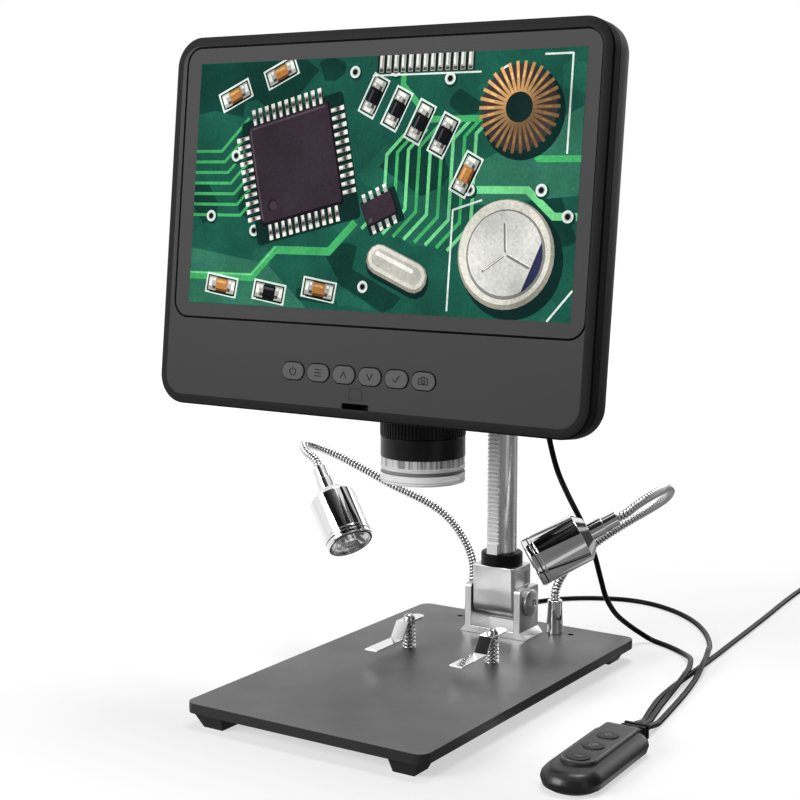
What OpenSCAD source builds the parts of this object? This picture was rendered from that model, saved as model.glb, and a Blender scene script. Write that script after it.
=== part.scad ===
// LCD digital microscope: a monitor with a built-in camera on a tilting rack column,
// over a base plate with two stage clips, two gooseneck lamps and a wired remote.
// Millimetres. Origin: centre of the base plate's top face. +X right, +Y away from
// the viewer, +Z up.

/* [Base plate] */
// Width of the base plate
plate_w = 119; // [112:1:140]
// Depth of the base plate
plate_d = 190.3; // [182:0.1:220]
// Thickness of the base plate
plate_t = 4.4; // [3:0.1:6]
// Corner radius of the base plate
plate_corner_r = 5; // [4:0.5:12]
// Side of a foot's square bottom
foot_size = 10; // [8:0.5:12]
// Height of a foot
foot_h = 6.5; // [5.5:0.1:9]
// Foot bottom to plate side, across
foot_inset_x = 7; // [4:0.5:9]
// Foot bottom to plate edge, front to back
foot_inset_y = 4.2; // [3:0.1:8]
// Radius of the tapped accessory holes
accessory_hole_r = 1.5; // [1:0.1:2]
// Distance between the accessory holes
accessory_pitch = 62; // [60:1:80]
// Accessory holes' distance behind the centre
accessory_y = 83.2; // [82:0.1:86]

/* [Hinge bracket] */
// Width across the bracket's ears
bracket_w = 30.2; // [28:0.1:32]
// Sheet thickness of ears and floor
bracket_wall = 3.4; // [3:0.1:4]
// Depth of the bracket, front to back
bracket_d = 18.4; // [18.2:0.1:20]
// Height of the ears
ear_h = 24; // [23:0.5:27]
// Radius on the ears' upper corners
ear_corner_r = 1.6; // [1:0.1:5]
// Reach of the bevelled foot beside an ear
bracket_foot = 2.9; // [1:0.1:4]
// Distance of the column behind the plate's centre
column_y = 70; // [66:0.5:70]
// Height of the pivot above the plate
pivot_z = 16.5; // [15:0.1:18]
// Radius of the pivot bolt
pivot_r = 3; // [2:0.1:4]
// Radius of the bolt's domed head
pivot_head_r = 6.6; // [5:0.1:7]
// Height of the head's straight rim
pivot_head_rim = 1.4; // [0.6:0.1:2]

/* [Column] */
// Side clearance between block and ears
block_gap = 0.3; // [0.2:0.1:0.8]
// Depth of the pivot block
block_d = 18; // [16.5:0.1:18.2]
// Height of the block's top above the plate
block_top = 33.9; // [32:0.1:38]
// Radius of the post
post_r = 7.2; // [6.5:0.1:7.5]
// Wall of the post
post_wall = 2; // [1.6:0.1:3]
// Height of the post's top above the plate
post_top = 245; // [240:1:260]
// Depth of the post's seat in the block
post_seat = 11; // [8:0.5:11]
// Height of the black collar
collar_h = 6.1; // [4:0.1:8]
// Radius of the black collar
collar_r = 10; // [9:0.1:11]
// Width of the rack bar
rack_w = 5.6; // [4:0.1:6]
// Distance from post axis to the rack's tips
rack_reach = 9.9; // [9.3:0.1:10.5]
// Distance from post axis to the rack's seat
rack_seat = 6.1; // [5.6:0.1:6.2]
// Distance from one rack tooth to the next
rack_pitch = 2; // [1.6:0.1:2.4]
// Plain length of the rack above the collar
rack_plain = 6; // [4:0.5:10]
// Number of pinion teeth
pinion_teeth = 18; // [18:1:20]
// Side play of a tooth in its gap
backlash = 0.3; // [0.2:0.05:0.5]

/* [Housing] */
// Bezel beside the display window
bezel_side = 5.5; // [5:0.05:14]
// Screen centre to the housing's top edge
housing_up = 64.1; // [62:0.1:75]
// Screen centre to the housing's bottom edge
housing_down = 96.9; // [94:0.1:105]
// Depth of the housing
housing_depth = 23.5; // [22.5:0.5:30]
// Depth of the front bezel
bezel_depth = 6.5; // [6.2:0.1:8]
// Housing's centre beside the lens axis
housing_x = -0.7; // [-1:0.1:0]
// Corner radius of the housing
housing_corner_r = 13; // [12.8:0.1:16]
// Width of the bezel's rounded border
bezel_edge_w = 4.2; // [3:0.1:6]
// Drop of the bezel's rounded border
bezel_edge_drop = 1.6; // [1:0.1:3]
// Radius on the rear cover's edge
rear_edge_r = 12.5; // [6:0.5:12.5]
// Wall of the housing
housing_wall = 2.4; // [2:0.1:2.6]
// Thickness of the bezel's face
face_t = 2.6; // [2.4:0.1:3]
// Backward lean of the screen
screen_tilt = 6.55; // [4:0.05:9]
// Height of the screen's centre
screen_z = 215.6; // [212:0.1:218]
// Distance of the screen's centre in front
screen_y = 42.8; // [42:0.1:46]
// Window's border beside the picture
window_side = 7; // [5.8:0.05:7.5]
// Window's centre beside the lens axis
window_x = 0.65; // [0.2:0.05:1]
// Window's centre to its top and bottom edge
window_h = 117.6; // [114:0.1:118]
// Corner radius of the display window
window_corner_r = 7.2; // [3:0.1:9]
// Groove around the display window
window_gap = 0.45; // [0.2:0.05:0.6]
// Width of the picture
picture_w = 188.2; // [180:0.1:189]
// Height of the picture
picture_h = 104.4; // [100:0.1:105]
// Picture's offset to the right
picture_x = 1.3; // [0:0.1:1.5]

/* [Buttons] */
// Length of a housing button
button_w = 11.2; // [9:0.1:11.4]
// Height of a housing button
button_h = 7.2; // [6:0.1:9]
// Distance between housing buttons
button_pitch = 13; // [12.8:0.1:16]
// Button row's distance below the screen's centre
button_drop = 78.7; // [74:0.1:82]
// Gap around a button
button_gap = 0.3; // [0.2:0.05:0.4]
// Travel of a housing button
button_travel = 0.8; // [0.5:0.1:1]
// Width of the card slot
card_slot_w = 13.1; // [12:0.1:16]
// Height of the card slot
card_slot_h = 2.6; // [2:0.1:2.8]

/* [Lens] */
// Lens axis in front of the plate's centre
lens_y = 1.7; // [0:0.1:3]
// Radius of the lens barrel
lens_r = 18.7; // [18:0.1:20]
// Height of the light ring's bottom
lens_bottom = 86.1; // [84:0.1:88]
// Height of the clear light ring
light_ring_h = 11.2; // [9:0.1:12]
// Height of the smooth lens band
lens_band_h = 9.2; // [7:0.1:10]
// Height of the knurled focus ring
focus_ring_h = 17.6; // [15:0.1:18]
// Number of ribs on the focus ring
focus_ribs = 72; // [48:2:90]

/* [Stage clips] */
// Half the distance between the clip screws
clip_x = 22.3; // [20:0.1:26]
// Clip screws behind the plate's centre
clip_y = 22; // [18:0.1:24]
// Width of a clip
clip_w = 6.6; // [6.2:0.1:9]
// Thickness of a clip's sheet
clip_t = 0.8; // [0.5:0.1:1.2]
// Height of a clip's pad
clip_top = 14.1; // [13:0.1:17]
// Length of a clip's arm
clip_arm_l = 21.2; // [16:0.1:26]
// Travel of a clip
clip_travel = 6; // [4:0.5:7]
// Radius of a clip screw
clip_screw_r = 1.5; // [1.2:0.1:1.8]
// Outer radius of a clip spring
spring_r = 3.2; // [2.8:0.1:4]
// Wire of a clip spring
spring_wire = 0.8; // [0.5:0.05:0.9]
// Turns of a clip spring
spring_turns = 8; // [5:1:9]

/* [Lamps] */
// Half the distance between the lamp sockets
socket_x = 23; // [22:0.1:25]
// Lamp sockets behind the plate's centre
socket_y = 81.5; // [80:0.1:84]
// Height of a lamp socket
socket_h = 16.5; // [12:0.1:17]
// Radius of a socket's foot
socket_foot_r = 4.1; // [3.6:0.1:5]
// Radius of a socket's top
socket_top_r = 3.45; // [3:0.05:3.5]
// Radius of a gooseneck
gooseneck_r = 2.2; // [1.8:0.1:2.6]
// Radius of a lamp head
lamp_r = 11.5; // [10:0.1:12]
// Length of a lamp head's cylinder
lamp_l = 25.2; // [22:0.1:26]
// Length of a lamp head's shoulder
lamp_shoulder = 4.2; // [3:0.1:6]
// Length of each of the ferrule's two steps
ferrule_step = 7.1; // [5:0.1:8]

/* [Remote and cords] */
// Width of the remote
remote_w = 25.2; // [24:0.1:28]
// Length of the remote
remote_l = 62; // [60:0.5:70]
// Height of the remote
remote_h = 10.2; // [9.5:0.1:12]
// Distance between the remote's buttons
remote_button_pitch = 13.8; // [12:0.1:15]
// Travel of a remote button
remote_button_travel = 0.6; // [0.3:0.1:0.8]
// Radius of the cords
cord_r = 1.3; // [1:0.05:1.3]

/* [Hidden] */
$fn = 64;

cut = 1;                 // how far a cutting shape runs past the face that it cuts
running_gap = 0.05;      // radial clearance of shafts and bores that turn or slide
thread_gap = 0.02;       // radial clearance of a screw in its own thread
touch_gap = 0.02;        // axial clearance between moving faces that touch
edge_step = 15;          // degrees between the facets of the housing's rounded edges

table_z = -plate_t - foot_h;

// Screws under the plate: one up into each foot's place, two into the bracket
foot_screw_r = 1.6;
foot_screw_head_r = 3;
foot_screw_head_z = table_z + 3.4;
foot_screw_top = -1;
bracket_screw_top = bracket_wall - 0.6;

// Column stack, from the hinge up
block_w = bracket_w - 2 * bracket_wall - 2 * block_gap;
block_round_r = block_d / 2;
collar_top = block_top + collar_h;
post_bottom = block_top - post_seat;
rack_module = rack_pitch / PI;
rack_depth = 2.25 * rack_module;
rack_first_tooth = collar_top + rack_plain + rack_pitch / 2;
rack_top = post_top - 2;
pinion_pitch_r = pinion_teeth * rack_pitch / (2 * PI);
pinion_tip_r = pinion_pitch_r + 0.9 * rack_module;
pinion_y = column_y - rack_reach + rack_module - pinion_pitch_r;
pinion_tooth_row = 54;   // the rack tooth that the pinion meshes with at rest
pinion_z = rack_first_tooth + pinion_tooth_row * rack_pitch;
pinion_w = rack_w + 2.4;
cap_h = 3;
cap_lip = 0.6;
cap_plug = 6;
shaft_r = 3;
pivot_head_dome = 1.4;

// Carriage around the post
carriage_bottom = pinion_z - 23;
carriage_top = pinion_z + 23;
carriage_hub_r = post_r + 7;
carriage_arm_w = 22;
bearing_r = 10;
bearing_w = 34;
knob_r = 11;
knob_w = 14;
knob_gap = 1;
knob_ribs = 40;

// Lens stack, from the bottom up
band_bottom = lens_bottom + light_ring_h;
ring_bottom = lens_bottom + light_ring_h + lens_band_h;
ring_top = ring_bottom + focus_ring_h;
neck_r = lens_r - 3.7;
stem_r = neck_r - 3;
barrel_top = 178;
barrel_wall = 2.5;
barrel_bore_from = ring_top + 6;
stem_top = ring_top + 2;
sensor_z = stem_top + 12;
light_ring_wall = 2.2;
led_board_t = 1.5;
led_count = 8;

// Camera bulge on the rear cover
bulge_w = 2 * lens_r + 8.6;
bulge_rear = lens_r - lens_y + 2;
bulge_corner_r = 9;
bulge_bottom = ring_top + 4;
bulge_top = barrel_top + 6;
bulge_slope = 14;

// Housing, seen in the screen's own frame: x right, y up, z out of the screen
window_w = picture_w + 2 * window_side;
housing_w = window_w + 2 * bezel_side;
housing_h = housing_up + housing_down;
housing_mid = (housing_up - housing_down) / 2;
rear_straight = housing_depth - bezel_depth - rear_edge_r;
window_mid = 0.35;
window_t = 1.5;
ledge_z = -window_t - 0.1;
lcd_t = 4.5;
lcd_margin = 1.5;
screw_boss_r = 3;
screw_x = picture_x + picture_w / 2 + lcd_margin + screw_boss_r + 0.4;
screw_rows = [housing_up - 18, -housing_down + 16];
screw_r = 1.2;
screw_head_r = 2.4;
screw_head_z = -housing_depth + 7;
board_w = 96;
board_h = 22;
board_t = 1.6;
board_front = -bezel_depth - 2.9;
board_boss_r = 3;
switch_size = 4;
button_proud = 0.5;
button_flange = 0.6;
button_flange_t = 1;
button_names = ["power", "menu", "up", "down", "confirm", "camera"];
button_row_x = -0.7;
card_slot_x = -0.85;
card_slot_drop = housing_down - 5.15;
card_socket_wall = 0.3;
relief_x = 45;
relief_drop = 63.1;
relief_l = 10;
relief_r = 3;

// Stage clip
clip_arm_z = clip_travel + clip_t + 0.4;
clip_pad_front = 6;
clip_pad_rear = 10;
clip_bend = 4.8;
clip_reach = clip_pad_front + clip_bend + clip_arm_l + cut;
clip_screw_head_r = 2.9;
clip_screw_head_h = 2.6;
spring_sides = 6;
spring_steps = 14;

// Sockets and wiring under the plate
stud_r = 2;
nut_h = 3;
nut_r = 4.04;
cover_x = 28.5;
cover_y = 8;
cover_h = 5;
cover_wall = 1.2;
cord_exit_x = -24;

// Lamps: centre of each face and the direction in which it shines
left_lamp_face = [-54.7, 21.2, 46];
left_lamp_aim = [0.63, -0.297, -0.719];
right_lamp_face = [34.3, 36.8, 44.9];
right_lamp_aim = [-0.705, -0.535, -0.47];
lamp_length = lamp_l + lamp_shoulder + 2 * ferrule_step;
lamp_bore_r = lamp_r - 1.7;
lamp_bore_l = 9;
lamp_lens_t = 2;
lamp_lens_in = 0.8;
ferrule_r = [4.4, 3.7];
left_gooseneck = [
    [-23.3, 82.6, 23], [-24.6, 84.2, 28], [-27.3, 85.1, 34], [-31, 84, 41], [-35.5, 82.2, 47.6],
    [-41, 79.6, 53.3], [-48.1, 76.9, 57.8], [-55.2, 74.1, 61.3], [-62.5, 71.2, 64.7],
    [-71, 68.7, 69], [-80, 66, 73.5], [-90, 62.5, 78.5], [-97.5, 57.5, 82.5], [-100.8, 50.5, 85.3],
    [-98.5, 43.5, 85.9], [-92.5, 38.5, 83.5]
];
right_gooseneck = [
    [23.2, 82.8, 23], [24.5, 87.8, 29], [27, 96.4, 34.5], [32.8, 106.4, 41.5], [43.2, 114.6, 50],
    [55, 117.6, 58.2], [64.7, 113.5, 65], [71.5, 104.5, 71], [74.6, 93, 74.6], [75.5, 81.5, 75],
    [73.5, 72, 73], [70.5, 66, 70]
];

// Remote: its centre on the table and its turn
remote_at = [107.9, -48.05];
remote_turn = 2.3;
remote_seam = 4.2;
remote_front_r = 12;
remote_rear_r = 6;
remote_button_w = 8.6;
remote_panel_w = 15.6;
remote_panel_front = -20.5;
remote_button_d = 7.6;
remote_relief_l = 13.5;
remote_relief_w = 10.4;
remote_relief_h = 6;
remote_relief_z = 3.6;
remote_neck_w = 8;
remote_neck_h = 4.2;
remote_neck_in = 6;
remote_ribs = 4;
cord_exit_gap = 2.9;
cord_lead = 5;

// Cord routes, in the order in which they leave their first piece
cord_sides = 8;
table_cord_z = table_z + cord_r;
monitor_cord_fall = [
    [45, 1, 146], [45, 11, 140.5], [45, 19, 132], [45, 25.5, 120], [45, 31.2, 104.7],
    [45, 39.6, 88.7], [45, 50, 76], [45, 62, 63.3]
];
monitor_cord_land = [
    [45, 71, 52.5], [45, 79, 41.5], [45, 85.9, 28.8], [45, 92, 18.5], [45.3, 102.3, 8.2],
    [46.4, 113, 0.8], [49, 121.3, -5], [54, 124.6, -8.8]
];
monitor_cord_table = [
    [61, 122.6, 0], [69, 118.3, 0], [77, 112, 0.3], [84, 103, 1.7], [88.4, 93.5, 2.85], [91.6, 84, 2.85],
    [93.8, 74, 2.85], [95.6, 62, 1.9], [97.7, 43, 0], [100.6, 28, 0], [103.8, 13, 0]
];
lamp_cord_table = [
    [-24.5, 106, 0], [-27.5, 118, 0], [-31.5, 130, 0], [-32.5, 144, 0], [-29.5, 156, 0],
    [-24, 166.5, 0], [-15, 176.5, 0], [-3, 184.5, 0], [11, 189.5, 0], [25, 189, 0], [40, 183, 0],
    [53, 173.8, 0], [64, 162.5, 0], [75, 146.5, 0], [83.6, 128.5, 0.9], [87.9, 116, 2.7],
    [91.5, 104.5, 2.7], [94.5, 93, 2.7], [97.4, 79, 0.8], [101.5, 56, 0], [105, 33, 0], [107.6, 14, 0]
];
power_cord_table = [
    [101.4, 13, 0], [97.9, 28, 0], [94.9, 43, 0], [93.2, 60, 0], [92.4, 78, 0], [91.8, 98, 0],
    [90.8, 120, 0], [89.4, 144, 0], [88, 170, 0], [86.2, 200, 0], [84, 232, 0], [82.6, 262, 0],
    [83.7, 277, 0]
];
coil_at = [102, 288];
coil_r = 15;
coil_half_w = 4 * cord_r;
coil_h = 4 * cord_r;
plug_tail = 20;
plug_relief_l = 8;
plug_grip = [22, 11.5, 5.6];
plug_metal = [12, 9.6, 3.6];
plug_z = table_z + plug_grip[2] / 2;

// ---------------------------------------------------------------- helpers

function unit(v) = v / norm(v);
function tangent(p, i) = unit(p[min(i + 1, len(p) - 1)] - p[max(i - 1, 0)]);
function across(v, t) = unit(v - (v * t) * t);

// Side directions carried along a path without twist
function carried(p, start) = [
    for (i = 0, n = across(start, tangent(p, 0)); i < len(p);
         i = i + 1, n = across(n, tangent(p, min(i, len(p) - 1)))) n
];

module tube(path, r, sides, start = [0.3, 0.2, 0.9]) {
    side = carried(path, start);
    last = len(path) - 1;
    points = [
        for (i = [0:last]) for (k = [0:sides - 1])
            path[i] + r * (cos(360 * k / sides) * side[i]
                + sin(360 * k / sides) * cross(tangent(path, i), side[i]))
    ];
    skin = [
        for (i = [0:last - 1]) for (k = [0:sides - 1])
            let (a = i * sides + k, b = i * sides + (k + 1) % sides)
                each [[a, a + sides, b], [b, a + sides, b + sides]]
    ];
    start_cap = [for (k = [0:sides - 1]) k];
    end_cap = [for (k = [sides - 1:-1:0]) last * sides + k];
    polyhedron(points, concat([start_cap, end_cap], skin));
}

module extrude_x(from, to) translate([from, 0, 0]) rotate([90, 0, 90]) linear_extrude(to - from) children();
module extrude_y(from, to) translate([0, to, 0]) rotate([90, 0, 0]) linear_extrude(to - from) children();
module extrude_z(from, to) translate([0, 0, from]) linear_extrude(to - from) children();
module rod_x(from, to, r) translate([from, 0, 0]) rotate([0, 90, 0]) cylinder(h = to - from, r = r);
module rod_z(from, to, r) translate([0, 0, from]) cylinder(h = to - from, r = r);
module both_sides() {
    children();
    mirror([1, 0, 0]) children();
}

module rounded_rect(w, h, r) {
    square([w - 2 * r, h], center = true);
    square([w, h - 2 * r], center = true);
    for (x = [-1, 1], y = [-1, 1]) translate([x * (w / 2 - r), y * (h / 2 - r)]) circle(r);
}

module oval(w, h) {
    square([w - h, h], center = true);
    for (x = [-1, 1]) translate([x * (w - h) / 2, 0]) circle(d = h);
}

// Half profile that reaches out at the bottom; a quarter ellipse rounds its top end
module rounded_end(reach, h, edge_w, edge_drop) polygon(concat(
    [[0, 0]],
    [for (a = [0:edge_step:90]) [reach - edge_w * (1 - cos(a)), h - edge_drop * (1 - sin(a))]],
    [[0, h]]
));

// Slab with round corners, and a rounded border around its top face
module soft_slab(w, d, h, corner_r, edge_w, edge_drop) {
    linear_extrude(h - edge_drop) rounded_rect(w, d, corner_r);
    for (x = [-1, 1], y = [-1, 1]) translate([x * (w / 2 - corner_r), y * (d / 2 - corner_r), 0])
        rotate_extrude() rounded_end(corner_r, h, edge_w, edge_drop);
    extrude_x(corner_r - w / 2, w / 2 - corner_r) edge_profile(d, h, edge_w, edge_drop);
    extrude_y(corner_r - d / 2, d / 2 - corner_r) edge_profile(w, h, edge_w, edge_drop);
}

module edge_profile(width, h, edge_w, edge_drop)
    for (side = [0, 1]) mirror([side, 0]) rounded_end(width / 2, h, edge_w, edge_drop);

// Outline with straight-sided ribs around it
module knurl(r, depth, ribs) {
    step = 360 / ribs;
    polygon([
        for (i = [0:ribs - 1]) each [
            for (k = [[0, 0], [0.15, 1], [0.55, 1], [0.7, 0]])
                let (a = (i + k[0]) * step) (r - depth * (1 - k[1])) * [cos(a), sin(a)]
        ]
    ]);
}

module at_column() translate([0, column_y, 0]) children();
module at_pivot() translate([0, column_y, pivot_z]) children();
module at_lens() translate([0, -lens_y, 0]) children();
module at_pinion() translate([0, pinion_y, pinion_z]) children();
module on_screen() translate([0, -screen_y, screen_z]) rotate([90 - screen_tilt, 0, 0]) children();
module at_remote() translate([remote_at[0], remote_at[1], table_z]) rotate(remote_turn) children();
function from_screen(p) = [
    p[0],
    -screen_y + p[1] * sin(screen_tilt) - p[2] * cos(screen_tilt),
    screen_z + p[1] * cos(screen_tilt) + p[2] * sin(screen_tilt)
];
function from_remote(p) = [
    remote_at[0] + p[0] * cos(remote_turn) - p[1] * sin(remote_turn),
    remote_at[1] + p[0] * sin(remote_turn) + p[1] * cos(remote_turn),
    table_z + p[2]
];
module at_lamp(face, aim) {
    back = -unit(aim);
    translate(face) rotate([0, acos(back[2]), atan2(back[1], back[0])]) children();
}

// ---------------------------------------------------------------- base

module base_plate() color("dimgray") difference() {
    extrude_z(-plate_t, 0) rounded_rect(plate_w, plate_d, plate_corner_r);
    both_sides() {
        translate([accessory_pitch / 2, accessory_y, 0]) rod_z(-plate_t - cut, cut, accessory_hole_r);
        translate([socket_x, socket_y, 0]) rod_z(-plate_t - cut, cut, stud_r + thread_gap);
        translate([clip_x, clip_y, 0]) rod_z(-plate_t - cut, cut, clip_screw_r + thread_gap);
    }
    at_bracket_screws() bracket_screw_hole();
    at_feet() rod_z(-plate_t - cut, foot_screw_top, foot_screw_r + thread_gap);
}

module rubber_feet() color("#1b1b1b") difference() {
    for (x = [0, 1], y = [0, 1]) mirror([x, 0, 0]) mirror([0, y, 0]) foot();
    at_feet() foot_screw_hole();
}

// A foot: upright inside, sloping outside up to the plate's edge
module foot() {
    x_out = plate_w / 2 - foot_inset_x;
    y_out = plate_d / 2 - foot_inset_y;
    intersection() {
        extrude_y(0, plate_d) foot_side(x_out, x_out - foot_size, foot_inset_x * 0.5);
        extrude_x(0, plate_w) foot_side(y_out, y_out - foot_size, foot_inset_y * 0.6);
    }
}

module foot_side(outer, inner, flare) polygon([
    [inner, table_z], [outer, table_z], [outer + flare, -plate_t], [inner - 1, -plate_t]
]);

module at_feet() for (x = [-1, 1], y = [-1, 1]) translate([
    x * (plate_w / 2 - foot_inset_x - foot_size / 2), y * (plate_d / 2 - foot_inset_y - foot_size / 2), 0
]) children();

module at_bracket_screws() for (x = [-1, 1]) translate([x * 6, column_y, 0]) children();

module foot_screw_hole() {
    rod_z(table_z - cut, -plate_t + cut, foot_screw_r + thread_gap);
    rod_z(table_z - cut, foot_screw_head_z, foot_screw_head_r + running_gap);
}

module bracket_screw_hole() rod_z(-plate_t - cut, bracket_screw_top, foot_screw_r + thread_gap);

module base_screws() color("silver") {
    at_bracket_screws() difference() {
        union() {
            rod_z(-plate_t, bracket_screw_top - 0.2, foot_screw_r);
            rod_z(-plate_t - 1.6, -plate_t, foot_screw_head_r);
        }
        rod_z(-plate_t - 1.6 - cut, -plate_t - 0.6, 1.2);
    }
    at_feet() {
        rod_z(foot_screw_head_z - 1.4, foot_screw_head_z, foot_screw_head_r);
        rod_z(foot_screw_head_z, foot_screw_top - 0.1, foot_screw_r);
    }
}

module hinge_bracket() color("lightgray") at_column() difference() {
    union() {
        both_sides() {
            extrude_x(bracket_w / 2 - bracket_wall, bracket_w / 2) ear_outline();
            extrude_y(-bracket_d / 2, bracket_d / 2) polygon([
                [bracket_w / 2, 0], [bracket_w / 2 + bracket_foot, 0], [bracket_w / 2, bracket_wall]
            ]);
        }
        extrude_z(0, bracket_wall) square([bracket_w, bracket_d], center = true);
    }
    translate([0, 0, pivot_z]) rod_x(-bracket_w, bracket_w, pivot_r + running_gap);
    translate([0, -column_y, 0]) at_bracket_screws() bracket_screw_hole();
}

module ear_outline() {
    translate([-bracket_d / 2, 0]) square([bracket_d, ear_h - ear_corner_r]);
    square_w = bracket_d - 2 * ear_corner_r;
    translate([-square_w / 2, 0]) square([square_w, ear_h]);
    for (y = [-1, 1]) translate([y * square_w / 2, ear_h - ear_corner_r]) circle(ear_corner_r);
}

module lamp_sockets() color("whitesmoke") both_sides() translate([socket_x, socket_y, 0]) {
    cylinder(h = socket_h, r1 = socket_foot_r, r2 = socket_top_r);
    rod_z(-plate_t - nut_h - 0.8, 0, stud_r);
}

module socket_nuts() color("silver") both_sides() translate([socket_x, socket_y, 0]) difference() {
    translate([0, 0, -plate_t - nut_h]) cylinder(h = nut_h, r = nut_r, $fn = 6);
    rod_z(-plate_t - nut_h - cut, -plate_t + cut, stud_r + thread_gap);
}

// Open tray under the plate over the lamps' wires, with the cord's way out at its rear
module wiring_cover() color("#222222") difference() {
    translate([0, socket_y, 0]) extrude_z(-plate_t - cover_h, -plate_t)
        rounded_rect(2 * cover_x, 2 * cover_y, 3);
    translate([0, socket_y, 0]) extrude_z(-plate_t - cover_h + cover_wall, -plate_t + cut)
        rounded_rect(2 * (cover_x - cover_wall), 2 * (cover_y - cover_wall), 2);
    translate([cord_exit_x, socket_y + cover_y - cover_wall / 2, table_cord_z + 3])
        rotate([90, 0, 0]) cylinder(h = 2 * cover_wall, r = cord_r + thread_gap, center = true);
}

// ---------------------------------------------------------------- stage clips

module clip_screws() color("silver") both_sides() translate([clip_x, clip_y, 0]) difference() {
    union() {
        rod_z(-plate_t, clip_top + touch_gap, clip_screw_r);
        translate([0, 0, clip_top + touch_gap]) screw_dome(clip_screw_head_r, clip_screw_head_h);
    }
    for (a = [0, 90]) rotate(a) translate([0, 0, clip_top + clip_screw_head_h])
        cube([3.4, 0.8, 2], center = true);
}

module screw_dome(r, h) {
    ball_r = (r * r + h * h) / (2 * h);
    rotate_extrude() intersection() {
        translate([0, h - ball_r]) circle(ball_r);
        square([r, h]);
    }
}

// Bent sheet clip; side is -1 for the left one and 1 for the right one
module stage_clip(side) color("white") translate([side * clip_x, clip_y, 0]) difference() {
    intersection() {
        extrude_x(-clip_w / 2, clip_w / 2) clip_profile();
        extrude_z(0, clip_top + cut) {
            translate([0, clip_pad_rear - clip_w / 2]) circle(d = clip_w);
            translate([-clip_w / 2, -clip_reach]) square([clip_w, clip_reach + clip_pad_rear - clip_w / 2]);
        }
    }
    rod_z(clip_top - 2 * clip_t, clip_top + cut, clip_screw_r + 0.2);
}

module clip_profile() {
    front = -clip_pad_front;
    bend = front - clip_bend;
    tip = bend - clip_arm_l;
    mitre = clip_t * tan(atan2(clip_top - clip_arm_z, clip_bend) / 2);
    polygon([
        [clip_pad_rear, clip_top], [front, clip_top], [bend, clip_arm_z], [tip, clip_arm_z],
        [tip, clip_arm_z - clip_t], [bend + mitre, clip_arm_z - clip_t],
        [front + mitre, clip_top - clip_t], [clip_pad_rear, clip_top - clip_t]
    ]);
}

// Coil spring between the plate and the clip's pad, with closed ends
module clip_spring(side) color("gainsboro") {
    low = spring_wire / 2 + touch_gap;
    high = clip_top - clip_t - spring_wire / 2 - touch_gap;
    steps = spring_turns * spring_steps;
    mean_r = spring_r - spring_wire / 2;
    path = [
        for (i = [0:steps])
            let (a = 360 * i / spring_steps,
                 rise = min(1, max(0, (i - spring_steps) / (steps - 2 * spring_steps))))
            [side * clip_x + mean_r * cos(a), clip_y + mean_r * sin(a),
             low + closed_end(i) + (high - low - 2 * closed_end(steps)) * rise
             - closed_end(steps - i) + closed_end(steps)]
    ];
    tube(path, spring_wire / 2, spring_sides);
}

// Rise of the wire over a closed end turn
function closed_end(i) = spring_wire * 0.97 * min(1, i / spring_steps);

// ---------------------------------------------------------------- lamps

module lamp_head(face, aim) color("whitesmoke") at_lamp(face, aim) rotate_extrude() difference() {
    polygon([
        [0, 0], [lamp_r - 0.7, 0], [lamp_r, 0.7], [lamp_r, lamp_l],
        [7.2, lamp_l + lamp_shoulder], [ferrule_r[0], lamp_l + lamp_shoulder],
        [ferrule_r[0], lamp_l + lamp_shoulder + ferrule_step],
        [ferrule_r[1], lamp_l + lamp_shoulder + ferrule_step], [ferrule_r[1], lamp_length],
        [0, lamp_length]
    ]);
    translate([0, -cut]) square([lamp_bore_r, lamp_bore_l + cut]);
    translate([lamp_r - 0.3, 2.4]) square([1, 0.5]);
    translate([lamp_r - 0.3, 4.2]) square([1, 0.4]);
}

module lamp_lens(face, aim) color("white") at_lamp(face, aim) {
    rod_z(lamp_lens_in, lamp_lens_in + lamp_lens_t, lamp_bore_r - thread_gap);
    rod_z(lamp_lens_in + lamp_lens_t, lamp_bore_l, 3.5);
}

module gooseneck(side, route, face, aim) color("silver") {
    foot = [side * socket_x, socket_y, socket_h];
    end = face - (lamp_length + touch_gap) * unit(aim);
    tube(
        concat([foot, foot + [0, 0, 3]], route, [end - 5 * unit(aim), end]),
        gooseneck_r, 10
    );
}

// ---------------------------------------------------------------- column

module pivot_block() color("lightgray") difference() {
    intersection() {
        at_pivot() extrude_x(-block_w / 2, block_w / 2) {
            circle(block_round_r);
            translate([-block_d / 2, 0]) square([block_d, block_top - pivot_z]);
        }
        at_column() extrude_z(0, block_top) rounded_rect(block_w, block_d, 1.6);
    }
    at_pivot() rod_x(-block_w, block_w, pivot_r + thread_gap);
    at_column() rod_z(post_bottom, block_top + cut, post_r);
    at_pivot() both_sides() extrude_x(block_w / 2 - 1.2, block_w / 2 + cut)
        translate([-5.6, 7.8]) square([11.2, 6.4]);
}

module pivot_bolt() color("white") at_pivot() {
    rod_x(-bracket_w / 2 - 1.6, bracket_w / 2 + touch_gap, pivot_r);
    translate([bracket_w / 2 + touch_gap, 0, 0]) rotate([0, 90, 0]) difference() {
        union() {
            cylinder(h = pivot_head_rim, r = pivot_head_r);
            translate([0, 0, pivot_head_rim]) screw_dome(pivot_head_r, pivot_head_dome);
        }
        translate([0, 0, pivot_head_rim]) cylinder(h = 2 * pivot_head_dome, r = 2.2, $fn = 6);
    }
}

module pivot_nut() color("silver") at_pivot() difference() {
    rod_x(-bracket_w / 2 - 1.5, -bracket_w / 2 - touch_gap, pivot_r + 1.4);
    rod_x(-bracket_w / 2 - 2, -bracket_w / 2, pivot_r + thread_gap);
}

module post_collar() color("#151515") at_column() rotate_extrude() difference() {
    translate([post_r, block_top]) square([collar_r - post_r, collar_h]);
    translate([collar_r, collar_top]) rotate(45) square(0.9, center = true);
}

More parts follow.
